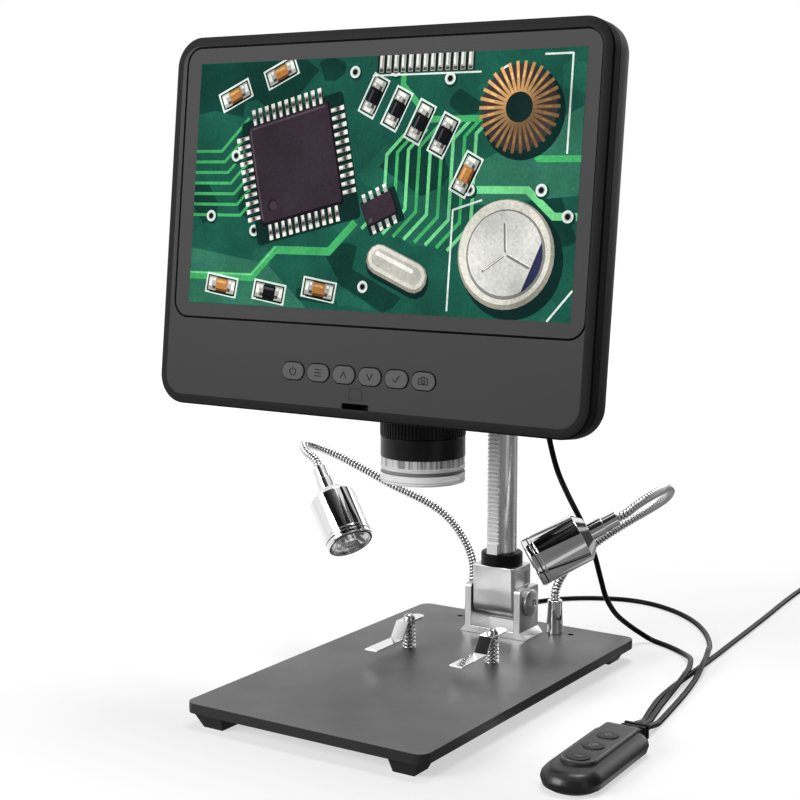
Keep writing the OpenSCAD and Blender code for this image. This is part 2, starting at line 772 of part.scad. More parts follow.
module post_tube() color("silver") at_column() difference() {
    rod_z(post_bottom, post_top, post_r);
    rod_z(post_bottom - cut, post_top + cut, post_r - post_wall);
    translate([-rack_w / 2, -rack_seat - 5, collar_top - 0.4]) cube([rack_w, 5, post_top]);
}

// Rack bar in the post's slot: a plain foot, then one tooth every rack_pitch
module rack_bar() color("gainsboro") at_column() {
    root = -rack_reach + rack_depth;
    teeth = floor((rack_top - rack_first_tooth) / rack_pitch);
    base_half = (rack_pitch / 4 - backlash / 4) + (rack_depth - rack_module) * tan(20);
    tip_half = (rack_pitch / 4 - backlash / 4) - rack_module * tan(20);
    extrude_x(-rack_w / 2, rack_w / 2) polygon(concat(
        [[-rack_seat, collar_top], [-rack_reach, collar_top], [-rack_reach, collar_top + rack_plain - 1],
         [root, collar_top + rack_plain - 1]],
        [for (i = [0:teeth - 1]) let (z = rack_first_tooth + i * rack_pitch) each [
            [root, z - base_half], [-rack_reach, z - tip_half], [-rack_reach, z + tip_half],
            [root, z + base_half]
        ]],
        [[root, rack_top], [-rack_seat, rack_top]]
    ));
}

module post_cap() color("#151515") at_column() {
    rod_z(post_top, post_top + cap_h, post_r + cap_lip);
    rod_z(post_top - cap_plug, post_top, post_r - post_wall);
}

// ---------------------------------------------------------------- carriage

module focus_carriage() color("#1d1d1f") difference() {
    union() {
        at_column() rod_z(carriage_bottom, carriage_top, carriage_hub_r);
        translate([-carriage_arm_w / 2, bulge_rear, carriage_bottom])
            cube([carriage_arm_w, column_y - bulge_rear, carriage_top - carriage_bottom]);
        at_pinion() rod_x(-bearing_w / 2, bearing_w / 2, bearing_r);
    }
    at_column() rod_z(carriage_bottom - cut, carriage_top + cut, post_r + running_gap);
    translate([-rack_w / 2 - 0.2, column_y - rack_reach - 0.3, carriage_bottom - cut])
        cube([rack_w + 0.4, rack_reach, carriage_top - carriage_bottom + 2 * cut]);
    at_pinion() {
        rod_x(-pinion_w / 2 - 0.2, pinion_w / 2 + 0.2, pinion_tip_r + 0.4);
        rod_x(-bearing_w, bearing_w, shaft_r + running_gap);
    }
}

// Involute flank point of the pinion at radius r, as an angle off the tooth's middle
function involute(angle) = tan(angle) * 180 / PI - angle;
function flank(r, base_r, half) =
    half + involute(20) - involute(acos(min(1, base_r / max(r, base_r))));

module pinion_outline() {
    base_r = pinion_pitch_r * cos(20);
    root_r = pinion_pitch_r - 1.15 * rack_module;
    half = 90 / pinion_teeth - backlash / 4 / pinion_pitch_r * 180 / PI;
    radii = [root_r, base_r, (base_r + pinion_pitch_r) / 2, pinion_pitch_r,
             (pinion_pitch_r + pinion_tip_r) / 2, pinion_tip_r];
    polygon([
        for (i = [0:pinion_teeth - 1])
            let (middle = 360 * (i + 0.5) / pinion_teeth)
            each concat(
                [for (r = radii) let (a = middle - flank(r, base_r, half)) r * [cos(a), sin(a)]],
                [for (k = [len(radii) - 1:-1:0]) let (r = radii[k], a = middle + flank(r, base_r, half))
                    r * [cos(a), sin(a)]]
            )
    ]);
}

module pinion_shaft() color("silver") at_pinion() {
    extrude_x(-pinion_w / 2, pinion_w / 2) pinion_outline();
    rod_x(-bearing_w / 2 - knob_gap - knob_w / 2, bearing_w / 2 + knob_gap + knob_w / 2, shaft_r);
}

module focus_knobs() color("#1a1a1a") at_pinion() both_sides() difference() {
    translate([bearing_w / 2 + knob_gap, 0, 0]) rotate([0, 90, 0]) {
        linear_extrude(knob_w - 2) knurl(knob_r, 0.6, knob_ribs);
        translate([0, 0, knob_w - 2]) cylinder(h = 2, r1 = knob_r - 0.8, r2 = knob_r - 2.2);
    }
    rod_x(bearing_w / 2, bearing_w / 2 + knob_gap + knob_w / 2, shaft_r + thread_gap);
}

// ---------------------------------------------------------------- monitor housing

module housing_outline(inset) translate([housing_x, housing_mid])
    rounded_rect(housing_w - 2 * inset, housing_h - 2 * inset, housing_corner_r - inset);

module at_buttons() for (i = [0:len(button_names) - 1]) at_button(i) children();
module at_button(i) translate([button_row_x + (i - 2.5) * button_pitch, -button_drop, 0]) children();
module at_housing_screws() for (x = [-1, 1], y = screw_rows) translate([x * screw_x, y, 0]) children();

module front_bezel() color("#46474b") on_screen() difference() {
    union() {
        difference() {
            translate([housing_x, housing_mid, -bezel_depth])
                soft_slab(housing_w, housing_h, bezel_depth, housing_corner_r, bezel_edge_w, bezel_edge_drop);
            extrude_z(-bezel_depth - cut, -face_t) housing_outline(housing_wall);
        }
        at_housing_screws() rod_z(-bezel_depth, -face_t, screw_boss_r);
    }
    translate([window_x, window_mid, 0]) extrude_z(ledge_z, cut)
        rounded_rect(window_w + 2 * window_gap, window_h + 2 * window_gap, window_corner_r + window_gap);
    translate([picture_x, 0, -face_t - cut]) linear_extrude(face_t)
        square([picture_w - 1, picture_h - 1], center = true);
    at_buttons() extrude_z(-face_t - cut, cut) oval(button_w + 2 * button_gap, button_h + 2 * button_gap);
    translate([card_slot_x, -card_slot_drop, 0]) extrude_z(-bezel_depth - cut, cut)
        square([card_slot_w, card_slot_h], center = true);
    at_housing_screws() rod_z(-bezel_depth - cut, -face_t - 0.4, screw_r + thread_gap);
}

module rear_cover() color("#3c3d40") difference() {
    union() {
        on_screen() translate([housing_x, housing_mid, -bezel_depth]) mirror([0, 0, 1]) soft_slab(
            housing_w, housing_h, housing_depth - bezel_depth, housing_corner_r, rear_edge_r, rear_edge_r);
        camera_bulge();
    }
    on_screen() difference() {
        extrude_z(-housing_depth + housing_wall, cut) translate([housing_x, housing_mid]) rounded_rect(
            housing_w - 2 * rear_edge_r + 6, housing_h - 2 * rear_edge_r + 6,
            housing_corner_r - housing_wall);
        at_housing_screws() rod_z(-housing_depth, -bezel_depth, screw_boss_r);
        at_board_bosses() rod_z(-housing_depth, board_front - board_t, board_boss_r);
    }
    on_screen() extrude_z(-bezel_depth - rear_straight, cut) difference() {
        housing_outline(housing_wall);
        at_housing_screws_2d() circle(screw_boss_r);
    }
    on_screen() at_housing_screws() {
        rod_z(-housing_depth - cut, screw_head_z, screw_head_r + thread_gap);
        rod_z(-housing_depth, cut, screw_r + thread_gap);
    }
    on_screen() translate([relief_x, -relief_drop, 0])
        rod_z(-housing_depth - cut, -housing_depth + housing_wall + cut, relief_r - 0.8);
    at_lens() rod_z(0, barrel_top, lens_r);
}

module at_housing_screws_2d() for (x = [-1, 1], y = screw_rows) translate([x * screw_x, y]) children();
module at_board_bosses() for (x = [-1, 1], y = [-1, 1])
    translate([x * (board_w / 2 - 4), -button_drop + y * (board_h / 2 - 4), 0]) children();

// Upright swelling that holds the camera barrel; its top slopes into the cover
module camera_bulge() intersection() {
    extrude_z(bulge_bottom, bulge_top + bulge_slope) {
        translate([-bulge_w / 2, -screen_y]) square([bulge_w, screen_y + bulge_rear - bulge_corner_r]);
        translate([-bulge_w / 2 + bulge_corner_r, -screen_y])
            square([bulge_w - 2 * bulge_corner_r, screen_y + bulge_rear]);
        for (x = [-1, 1]) translate([x * (bulge_w / 2 - bulge_corner_r), bulge_rear - bulge_corner_r])
            circle(bulge_corner_r);
    }
    extrude_x(-bulge_w / 2, bulge_w / 2) polygon([
        [-screen_y + housing_depth / 2, bulge_bottom], [bulge_rear, bulge_bottom], [bulge_rear, bulge_top],
        [-screen_y + housing_depth / 2, bulge_top + bulge_slope]
    ]);
}

module display_window() color("#2e2f33") on_screen() translate([window_x, window_mid, 0])
    extrude_z(ledge_z, ledge_z + window_t) rounded_rect(window_w, window_h, window_corner_r);

module lcd_panel() color("#1f4a38") on_screen() translate([picture_x, 0, 0])
    extrude_z(-face_t - lcd_t, -face_t)
        square([picture_w + 2 * lcd_margin, picture_h + 2 * lcd_margin], center = true);

module main_board() color("#23603a") on_screen() {
    translate([0, -button_drop, 0]) extrude_z(board_front - board_t, board_front)
        square([board_w, board_h], center = true);
    at_buttons() extrude_z(board_front, -face_t - button_flange_t - button_travel - 0.1)
        square(switch_size, center = true);
}

module card_socket() color("silver") on_screen() translate([card_slot_x, -card_slot_drop, 0]) difference() {
    extrude_z(-bezel_depth - rear_straight + 0.1, -face_t)
        square([card_slot_w + 1.6, card_slot_h + 2 * card_socket_wall], center = true);
    extrude_z(-bezel_depth - rear_straight + 0.7, 0) square([card_slot_w, card_slot_h], center = true);
}

module housing_screws() color("silver") on_screen() at_housing_screws() {
    rod_z(screw_head_z - 1.6, screw_head_z, screw_head_r);
    rod_z(screw_head_z, -face_t - 0.8, screw_r);
}

// Sprung oval button with a flange behind the bezel's face
module housing_button(i) color("#69696c") on_screen() at_button(i) {
    extrude_z(-face_t, button_proud) oval(button_w, button_h);
    extrude_z(-face_t - button_flange_t, -face_t - touch_gap)
        oval(button_w + 2 * button_flange, button_h + 2 * button_flange);
    extrude_z(-face_t - touch_gap, -face_t) oval(button_w, button_h);
}

module monitor_cord_relief() color("#151515") on_screen() translate([relief_x, -relief_drop, 0]) {
    rod_z(-housing_depth - 1.2, -housing_depth, relief_r + 1);
    rod_z(-housing_depth, -housing_depth + housing_wall, relief_r - 0.8 - thread_gap);
    translate([0, 0, -housing_depth - relief_l]) cylinder(h = relief_l - 1.2, r1 = 2, r2 = relief_r);
}

// ---------------------------------------------------------------- camera and lens

module camera_barrel() color("#161618") at_lens() difference() {
    union() {
        rod_z(ring_top + 0.2, barrel_top, lens_r);
        rod_z(ring_bottom, ring_top + 0.2, neck_r);
    }
    rod_z(ring_bottom - cut, barrel_bore_from, stem_r);
    rod_z(barrel_bore_from - cut, barrel_top - barrel_wall, lens_r - barrel_wall);
}

module sensor_board() color("#23603a") at_lens() {
    rod_z(sensor_z, sensor_z + board_t, lens_r - barrel_wall - thread_gap);
    extrude_z(sensor_z - 1.4, sensor_z) square(8, center = true);
}

module objective_lens() color("#101012") at_lens() rotate_extrude() difference() {
    polygon([
        [0, band_bottom], [lens_r, band_bottom], [lens_r, ring_bottom], [stem_r - running_gap, ring_bottom],
        [stem_r - running_gap, stem_top], [0, stem_top]
    ]);
    polygon([[0, band_bottom - cut], [8, band_bottom - cut], [6.5, band_bottom + 4], [0, band_bottom + 4]]);
    translate([0, stem_top - 3]) square([5, 4]);
}

module focus_ring() color("#18181a") at_lens() difference() {
    extrude_z(ring_bottom + 0.2, ring_top) knurl(lens_r + 0.2, 0.6, focus_ribs);
    rod_z(ring_bottom, ring_top + cut, neck_r + running_gap);
}

// Clear guard around the LEDs, with a groove around it
module light_ring() color("aliceblue", 0.4) at_lens() rotate_extrude() difference() {
    translate([lens_r - light_ring_wall, lens_bottom]) square([light_ring_wall, light_ring_h]);
    translate([lens_r - 0.35, lens_bottom + 4.4]) square([1, 1.6]);
}

module led_board() color("white") at_lens() difference() {
    union() {
        rod_z(band_bottom - led_board_t, band_bottom, lens_r - light_ring_wall - thread_gap);
        for (i = [0:led_count - 1]) rotate(360 * (i + 0.5) / led_count) translate([12.4, 0, 0])
            rod_z(band_bottom - led_board_t - 1.2, band_bottom - led_board_t, 1.6);
    }
    rod_z(band_bottom - led_board_t - 2, band_bottom + cut, 8.2);
}

// ---------------------------------------------------------------- cords and remote

// A table route's third number is the cord's rise over another cord
function on_table(p) = [for (q = p) [q[0], q[1], table_cord_z + q[2]]];
function relief_end(i) = from_remote([i * cord_exit_gap, remote_l / 2 + remote_relief_l, remote_relief_z]);
function relief_lead(i) = relief_end(i) + from_remote([0, cord_lead, 0]) - from_remote([0, 0, 0]);
monitor_cord_start = from_screen([relief_x, -relief_drop, -housing_depth - relief_l]);
monitor_cord_lead = from_screen([relief_x, -relief_drop, -housing_depth - relief_l - cord_lead]);
cord_meeting = monitor_cord_fall[len(monitor_cord_fall) - 1];
cord_meeting_way = unit(monitor_cord_land[0] - cord_meeting);

module monitor_cord_upper() color("#202020") tube(
    concat([monitor_cord_start, monitor_cord_lead], monitor_cord_fall), cord_r, cord_sides
);

module monitor_cord_lower() color("#202020") tube(
    concat([cord_meeting + 0.05 * cord_meeting_way], monitor_cord_land, on_table(monitor_cord_table),
        [relief_lead(0), relief_end(0)]),
    cord_r, cord_sides
);

module lamp_cord() color("#202020") tube(
    concat(
        [[cord_exit_x, socket_y + cover_y - cover_wall, table_cord_z + 3],
         [cord_exit_x, socket_y + cover_y + 5, table_cord_z + 3]],
        on_table(lamp_cord_table), [relief_lead(1), relief_end(1)]
    ),
    cord_r, cord_sides
);

module power_cord() color("#202020") {
    tube(
        concat([relief_end(-1), relief_lead(-1)], on_table(power_cord_table),
            [[coil_at[0] - coil_r, coil_at[1], table_cord_z]]),
        cord_r, cord_sides
    );
    tube(
        [for (x = [0, 0.5, 1]) [coil_at[0] + x * plug_tail, coil_at[1] + coil_r, plug_z]],
        cord_r, cord_sides
    );
}

module power_cord_coil() color("#202020") translate([coil_at[0], coil_at[1], table_z]) difference() {
    cylinder(h = coil_h, r = coil_r + coil_half_w);
    translate([0, 0, -cut]) cylinder(h = coil_h + 2 * cut, r = coil_r - coil_half_w);
}

module usb_plug() color("#181818")
    translate([coil_at[0] + plug_tail, coil_at[1] + coil_r, plug_z]) {
        rotate([0, 90, 0]) cylinder(h = plug_relief_l, r1 = 1.8, r2 = 2.3);
        translate([plug_relief_l, -plug_grip[1] / 2, -plug_grip[2] / 2]) cube(plug_grip);
        translate([plug_relief_l + plug_grip[0], -plug_metal[1] / 2, -plug_metal[2] / 2]) cube(plug_metal);
    }

module remote_outline(inset) {
    w = remote_w / 2 - inset;
    l = remote_l / 2 - inset;
    front_r = remote_front_r - inset;
    rear_r = max(1, remote_rear_r - inset);
    hull() {
        for (x = [-1, 1]) {
            translate([x * (w - front_r), -l + front_r]) circle(front_r, $fn = 32);
            translate([x * (w - rear_r), l - rear_r]) circle(rear_r, $fn = 32);
        }
    }
}

module remote_layer(z, inset) translate([0, 0, z]) linear_extrude(0.01) remote_outline(inset);

module remote_neck(grow) translate([0, remote_l / 2 - remote_neck_in / 2 + 0.5, remote_relief_z])
    cube([remote_neck_w + 2 * grow, remote_neck_in + 1, remote_neck_h + 2 * grow], center = true);

// Raised panel with a bevelled edge: round at the front, running out to the rear end
module remote_panel() hull() for (layer = [[remote_h - 2.2, 0], [remote_h - 0.6, 0.4], [remote_h, 1]])
    translate([0, 0, layer[0] - 0.01]) linear_extrude(0.01) hull() {
        front_r = remote_panel_w / 2 - 0.5;
        for (x = [-1, 1]) {
            translate([x * 0.5, remote_panel_front + front_r]) circle(front_r - layer[1], $fn = 32);
            translate([x * (remote_panel_w / 2 - 1.5), remote_l / 2 - 2.5]) circle(1.5 - layer[1], $fn = 16);
        }
    }

module at_remote_button(i) translate([0, i * remote_button_pitch, 0]) children();

module remote_top_shell() color("#2b2c2e") at_remote() difference() {
    union() {
        hull() {
            remote_layer(remote_seam, 0);
            remote_layer(remote_h - 4.1, 0.5);
            remote_layer(remote_h - 2.4, 2);
            remote_layer(remote_h - 1.3, 4.2);
        }
        remote_panel();
    }
    remote_neck(thread_gap);
    for (i = [-1:1]) at_remote_button(i) extrude_z(remote_h - 3.4, remote_h + cut)
        oval(remote_button_w + 0.5, remote_button_d + 0.5);
}

module remote_bottom_shell() color("#242527") at_remote() difference() {
    hull() {
        remote_layer(0, 3.2);
        remote_layer(1.4, 0.9);
        remote_layer(remote_seam - 0.01, 0);
    }
    remote_neck(thread_gap);
}

module remote_strain_relief() color("#1c1c1c") at_remote() {
    remote_neck(0);
    translate([0, remote_l / 2, remote_relief_z]) {
        extrude_y(0.2, remote_relief_l) square([remote_relief_w - 1.6, remote_relief_h - 1.4], center = true);
        for (i = [0:remote_ribs - 1])
            extrude_y(1.6 + i * remote_relief_l / remote_ribs, 3.2 + i * remote_relief_l / remote_ribs)
                square([remote_relief_w, remote_relief_h], center = true);
    }
}

module remote_button(i) color("#36373a") at_remote() at_remote_button(i)
    extrude_z(remote_h - 3.4 + remote_button_travel + 0.1, remote_h + 0.4)
        oval(remote_button_w, remote_button_d);

// ---------------------------------------------------------------- nodes

base_plate();
rubber_feet();
base_screws();
hinge_bracket();
lamp_sockets();
socket_nuts();
wiring_cover();
clip_screws();
clip_spring(-1);  // clip_spring_left
clip_spring(1);  // clip_spring_right
stage_clip(-1);  // clip_left
stage_clip(1);  // clip_right
gooseneck(-1, left_gooseneck, left_lamp_face, left_lamp_aim);  // gooseneck_left
gooseneck(1, right_gooseneck, right_lamp_face, right_lamp_aim);  // gooseneck_right
lamp_head(left_lamp_face, left_lamp_aim);  // lamp_head_left
lamp_head(right_lamp_face, right_lamp_aim);  // lamp_head_right
lamp_lens(left_lamp_face, left_lamp_aim);  // lamp_lens_left
lamp_lens(right_lamp_face, right_lamp_aim);  // lamp_lens_right
pivot_block();
pivot_bolt();
pivot_nut();
post_collar();
post_tube();
rack_bar();
post_cap();
focus_carriage();
pinion_shaft();
focus_knobs();
front_bezel();
rear_cover();
lcd_panel();
display_window();
main_board();
card_socket();
housing_screws();
housing_button(0);  // button_power
housing_button(1);  // button_menu
housing_button(2);  // button_up
housing_button(3);  // button_down
housing_button(4);  // button_confirm
housing_button(5);  // button_camera
camera_barrel();
sensor_board();
objective_lens();
focus_ring();
light_ring();
led_board();
monitor_cord_relief();
monitor_cord_upper();
monitor_cord_lower();
lamp_cord();
power_cord();
power_cord_coil();
usb_plug();
remote_top_shell();
remote_bottom_shell();
remote_strain_relief();
remote_button(1);  // remote_button_top
remote_button(0);  // remote_button_middle
remote_button(-1);  // remote_button_bottom
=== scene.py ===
"""LCD digital microscope: the visible pieces, materials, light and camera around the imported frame.

Lengths are in millimetres in the row frame until a mesh is made, and metres after that; the camera, the
lamps and the floor are in metres throughout. Colours are display values from 0 to 255 up to linear().
"""

import math

import bmesh
import bpy
import numpy as np
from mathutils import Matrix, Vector
from mathutils.geometry import delaunay_2d_cdt


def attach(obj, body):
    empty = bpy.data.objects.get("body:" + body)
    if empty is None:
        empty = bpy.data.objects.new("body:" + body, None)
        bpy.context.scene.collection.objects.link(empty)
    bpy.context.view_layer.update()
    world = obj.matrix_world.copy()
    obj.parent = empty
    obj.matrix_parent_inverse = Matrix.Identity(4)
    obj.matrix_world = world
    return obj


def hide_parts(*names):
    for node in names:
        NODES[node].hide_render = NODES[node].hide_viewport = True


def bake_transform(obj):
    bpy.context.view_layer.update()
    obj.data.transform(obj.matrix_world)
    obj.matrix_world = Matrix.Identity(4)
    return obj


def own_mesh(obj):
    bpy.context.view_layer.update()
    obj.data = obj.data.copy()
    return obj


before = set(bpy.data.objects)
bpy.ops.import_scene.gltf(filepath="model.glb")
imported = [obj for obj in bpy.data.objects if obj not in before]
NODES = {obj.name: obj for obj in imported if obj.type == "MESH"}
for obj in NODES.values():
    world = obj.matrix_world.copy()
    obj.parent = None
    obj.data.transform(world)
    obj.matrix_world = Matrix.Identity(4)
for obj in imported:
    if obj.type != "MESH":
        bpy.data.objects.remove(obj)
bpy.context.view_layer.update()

MM = 0.001
TAU = 2 * math.pi
QUARTER = TAU / 4

# ---- sizes shared with the part's source
TABLE_Z = -10.9
LENS_Y = -1.7
CORD_R = 1.3
TABLE_CORD_Z = TABLE_Z + CORD_R
SCREEN_AT = (0.0, -42.8, 215.6)
SCREEN_TILT = math.radians(6.55)
REMOTE_AT = (107.9, -48.05, TABLE_Z)
REMOTE_TURN = math.radians(2.3)
SIDES = ("left", "right")
LAMP_FACE = {"left": np.array([-54.7, 21.2, 46.0]), "right": np.array([34.3, 36.8, 44.9])}
LAMP_AIM = {"left": np.array([0.63, -0.297, -0.719]), "right": np.array([-0.705, -0.535, -0.47])}
LAMP_LENGTH = 43.62
COIL_AT = np.array([102.0, 288.0])
COIL_ROW = 2 * CORD_R
COIL_R = 15.0
COIL_ROWS = 4
BUTTON_NAMES = ("power", "menu", "up", "down", "confirm", "camera")


# ---- placing
class Place:
    """A local frame: an origin and three axes."""

    def __init__(self, origin, x, y, z):
        self.origin = np.array(origin, float)
        self.axes = np.array([x, y, z], float)

    def __call__(self, points):
        return np.atleast_2d(np.array(points, float)) @ self.axes + self.origin


def unit(v):
    v = np.array(v, float)
    return v / np.linalg.norm(v)


def upright(x, y, z, turn=0.0):
    c, s = math.cos(turn), math.sin(turn)
    return Place((x, y, z), (c, s, 0), (-s, c, 0), (0, 0, 1))


def lamp_place(side):
    """Origin on the lamp's face, +Z away from the light, towards the gooseneck."""
    back = -unit(LAMP_AIM[side])
    flat = math.hypot(back[0], back[1])
    c, s = back[0] / flat, back[1] / flat
    x = np.array([back[2] * c, back[2] * s, -flat])
    return Place(LAMP_FACE[side], x, np.cross(back, x), back)


SCREEN = Place(
    SCREEN_AT,
    (1, 0, 0),
    (0, math.sin(SCREEN_TILT), math.cos(SCREEN_TILT)),
    (0, -math.cos(SCREEN_TILT), math.sin(SCREEN_TILT)),
)
REMOTE = upright(*REMOTE_AT, turn=REMOTE_TURN)
LENS = upright(0, LENS_Y, 0)


# ---- mesh building
class Shape:
    """Collects points and faces, each face with the number of its material and, in the picture, its colour."""

    def __init__(self):
        self.points, self.faces, self.marks, self.tints = [], [], [], []

    def begin(self, points):
        """Adds points; the faces added after them count from the first of them."""
        self.first = len(self.points)
        self.points += [tuple(float(c) for c in p) for p in points]

    def add(self, faces, mark=0, tint=None):
        self.faces += [[self.first + i for i in f] for f in faces]
        self.marks += [mark] * len(faces)
        self.tints += [tint] * len(faces)

    def loft(self, rings, marks=None, caps=(False, False)):
        """Skins closed rings of equally many points; marks may give each band its own material."""
        n, last = len(rings[0]), len(rings) - 1
        marks = marks or [0] * len(rings)
        self.begin([p for ring in rings for p in ring])
        for i in range(last):
            low, high = i * n, (i + 1) * n
            self.add([[low + k, low + (k + 1) % n, high + (k + 1) % n, high + k] for k in range(n)], marks[i])
        if caps[0]:
            self.add([list(range(n))[::-1]], marks[0])
        if caps[1]:
            self.add([list(range(last * n, last * n + n))], marks[-1])
        return self

    def lathe(self, profile, sides, marks=None, waves=0):
        """Turns (radius, height) pairs about Z; a third value is how far that pair's radius waves in and out."""
        angles = np.linspace(0, TAU, sides, endpoint=False)
        rings = []
        for radius, height, *swing in profile:
            r = radius + (swing[0] * np.cos(waves * angles) if swing else 0.0)
            rings.append(np.column_stack([r * np.cos(angles), r * np.sin(angles), np.full(sides, height)]))
        return self.loft(rings, marks)

    def sheet(self, outer, holes, z):
        """A flat face at height z inside a closed outline, with holes."""
        points, edges = [], []
        for loop in (outer, *holes):
            first = len(points)
            points += [tuple(p[:2]) for p in loop]
            edges += [(first + k, first + (k + 1) % len(loop)) for k in range(len(loop))]
        made, _, faces, *_ = delaunay_2d_cdt(points, edges, [], 1, 1e-6)
        made = np.array([tuple(p) for p in made])
        kept = []
        for f in faces:
            middle = made[list(f)].mean(0)
            if inside(middle, outer) and not any(inside(middle, h) for h in holes):
                kept.append(list(f))
        self.begin(np.column_stack([made, np.full(len(made), z)]))
        self.add(kept)


def inside(p, loop):
    q = np.asarray(loop, float)[:, :2]
    r = np.roll(q, -1, axis=0)
    crosses = (q[:, 1] > p[1]) != (r[:, 1] > p[1])
    with np.errstate(divide="ignore", invalid="ignore"):
        x = (r[:, 0] - q[:, 0]) * (p[1] - q[:, 1]) / (r[:, 1] - q[:, 1]) + q[:, 0]
    return bool((crosses & (p[0] < x)).sum() % 2)


def rounded(w, h, r, at=(0.0, 0.0), steps=8):
    """Outline of a rectangle with round corners, anticlockwise."""
    loop = []
    for k, (sx, sy) in enumerate([(1, 1), (-1, 1), (-1, -1), (1, -1)]):
        for i in range(steps + 1):
            a = (k + i / steps) * QUARTER
            loop.append((at[0] + sx * (w / 2 - r) + r * math.cos(a), at[1] + sy * (h / 2 - r) + r * math.sin(a)))
    return np.array(loop)


def level(loop, z):
    return np.column_stack([np.asarray(loop)[:, :2], np.full(len(loop), z)])


def smooth_path(points, step):
    """A centripetal Catmull-Rom curve through the points, resampled at an even step."""
    p = np.array(points, float)
    p = np.vstack([2 * p[0] - p[1], p, 2 * p[-1] - p[-2]])
    fine = []
    for i in range(1, len(p) - 2):
        a, b, c, d = p[i - 1 : i + 3]
        t = np.cumsum([0] + [max(np.linalg.norm(v), 1e-9) ** 0.5 for v in (b - a, c - b, d - c)])
        u = np.linspace(t[1], t[2], 24, endpoint=i == len(p) - 3)[:, None]

        def between(j, k, low, high):
            return (t[k] - u) / (t[k] - t[j]) * low + (u - t[j]) / (t[k] - t[j]) * high

        ab, bc, cd = between(0, 1, a, b), between(1, 2, b, c), between(2, 3, c, d)
        fine.append(between(1, 2, between(0, 2, ab, bc), between(1, 3, bc, cd)))
    fine = np.vstack(fine)
    along = np.r_[0, np.cumsum(np.linalg.norm(np.diff(fine, axis=0), axis=1))]
    even = np.linspace(0, along[-1], max(2, round(along[-1] / step)) + 1)
    return np.column_stack([np.interp(even, along, fine[:, k]) for k in range(3)])


def sweep(shape, path, radius, sides, marks=None, start=(0.3, 0.2, 0.9)):
    """A round tube with closed ends along a path; radius is a number or one for each point."""
    path = np.asarray(path, float)
    r = np.broadcast_to(np.asarray(radius, float), (len(path),))
    way = np.gradient(path, axis=0)
    way /= np.linalg.norm(way, axis=1)[:, None]
    side = np.array(start, float)
    angles = np.linspace(0, TAU, sides, endpoint=False)
    rings = []
    for p, t, rr in zip(path, way, r):
        side = unit(side - (side @ t) * t)
        other = np.cross(t, side)
        rings.append(p + rr * (np.cos(angles)[:, None] * side + np.sin(angles)[:, None] * other))
    return shape.loft(rings, marks, (True, True))


def assign(thing, **settings):
    for key, value in settings.items():
        setattr(thing, key, value)
    return thing


MERGE_WITHIN, WELD_WITHIN = 1e-7, 2e-6
FLAT_WITHIN, EDGE_OVER = math.radians(0.4), math.radians(30)


def mesh_of(name, shape, place, materials, sharp):
    points = np.array(shape.points, float)
    if place is not None:
        points = place(points)
    mesh = bpy.data.meshes.new(name)
    mesh.from_pydata((points * MM).tolist(), [], shape.faces)
    for m in materials:
        mesh.materials.append(m)
    mesh.polygons.foreach_set("material_index", shape.marks)
    if any(t is not None for t in shape.tints):
        layer = mesh.color_attributes.new("tint", "FLOAT_COLOR", "CORNER")
        for polygon, tint in zip(mesh.polygons, shape.tints):
            for corner in polygon.loop_indices:
                layer.data[corner].color = colour_of(tint)
    bm = bmesh.new()
    bm.from_mesh(mesh)
    bmesh.ops.remove_doubles(bm, verts=bm.verts, dist=MERGE_WITHIN)
    bmesh.ops.recalc_face_normals(bm, faces=bm.faces)
    bm.to_mesh(mesh)
    bm.free()
    mesh.shade_smooth()
    mesh.set_sharp_from_angle(angle=math.radians(sharp))
    return mesh


def piece(name, body, shape, materials, place=None, sharp=32, slot=None, replaces=(), weighted=False):
    """Makes an object of a shape."""
    materials = materials if isinstance(materials, (list, tuple)) else [materials]
    obj = bpy.data.objects.new(name, mesh_of(name, shape, place, materials, sharp))
    bpy.context.scene.collection.objects.link(obj)
    if weighted:
        assign(obj.modifiers.new("even normals", "WEIGHTED_NORMAL"), keep_sharp=True)
    if replaces:
        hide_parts(*replaces)
    if body:
        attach(obj, body)
    return obj


def keep(name, material, bevel):
    """Dresses a CAD node: its edges get a small round, and its surface a material."""
    obj = NODES[name]
    obj.data.materials.clear()
    obj.data.materials.append(material)
    obj.data.polygons.foreach_set("material_index", [0] * len(obj.data.polygons))
    made = obj.modifiers.new
    assign(made("weld", "WELD"), merge_threshold=WELD_WITHIN)
    assign(made("flat faces", "DECIMATE"), decimate_type="DISSOLVE", angle_limit=FLAT_WITHIN)
    if bevel:
        assign(made("edges", "BEVEL"), width=bevel * MM, segments=2, limit_method="ANGLE", angle_limit=EDGE_OVER)
    made("even normals", "WEIGHTED_NORMAL")
    obj.data.shade_smooth()


# ---- colours and shader nodes
def linear(value):
    """A colour written in display values 0 to 255, as the shaders need it."""
    made = []
    for v in value if hasattr(value, "__len__") else (value,) * 3:
        c = v / 255
        made.append(c / 12.92 if c <= 0.04045 else ((c + 0.055) / 1.055) ** 2.4)
    return made


def colour_of(value):
    return [*linear(value), 1]


def grey(value):
    """A grey in the shaders' own values."""
    return (value, value, value, 1)


WHITE = grey(1)


def feed(tree, made, inputs):
    """Fills a node's inputs; each takes a value or another node's output."""
    for key, value in inputs.items():
        if isinstance(value, bpy.types.NodeSocket):
            tree.links.new(value, made.inputs[key])
        else:
            made.inputs[key].default_value = value
    return made


def node(tree, kind, inputs=None, **settings):
    return feed(tree, assign(tree.nodes.new("ShaderNode" + kind), **settings), inputs or {})


def maths(tree, operation, a, b):
    return node(tree, "Math", {0: a, 1: b}, operation=operation).outputs[0]


def scaled(tree, value, times, plus):
    return maths(tree, "ADD", maths(tree, "MULTIPLY", value, times), plus)


def mix(tree, factor, a, b):
    return node(tree, "Mix", {"Factor": factor, "A": a, "B": b}, data_type="RGBA").outputs["Result"]


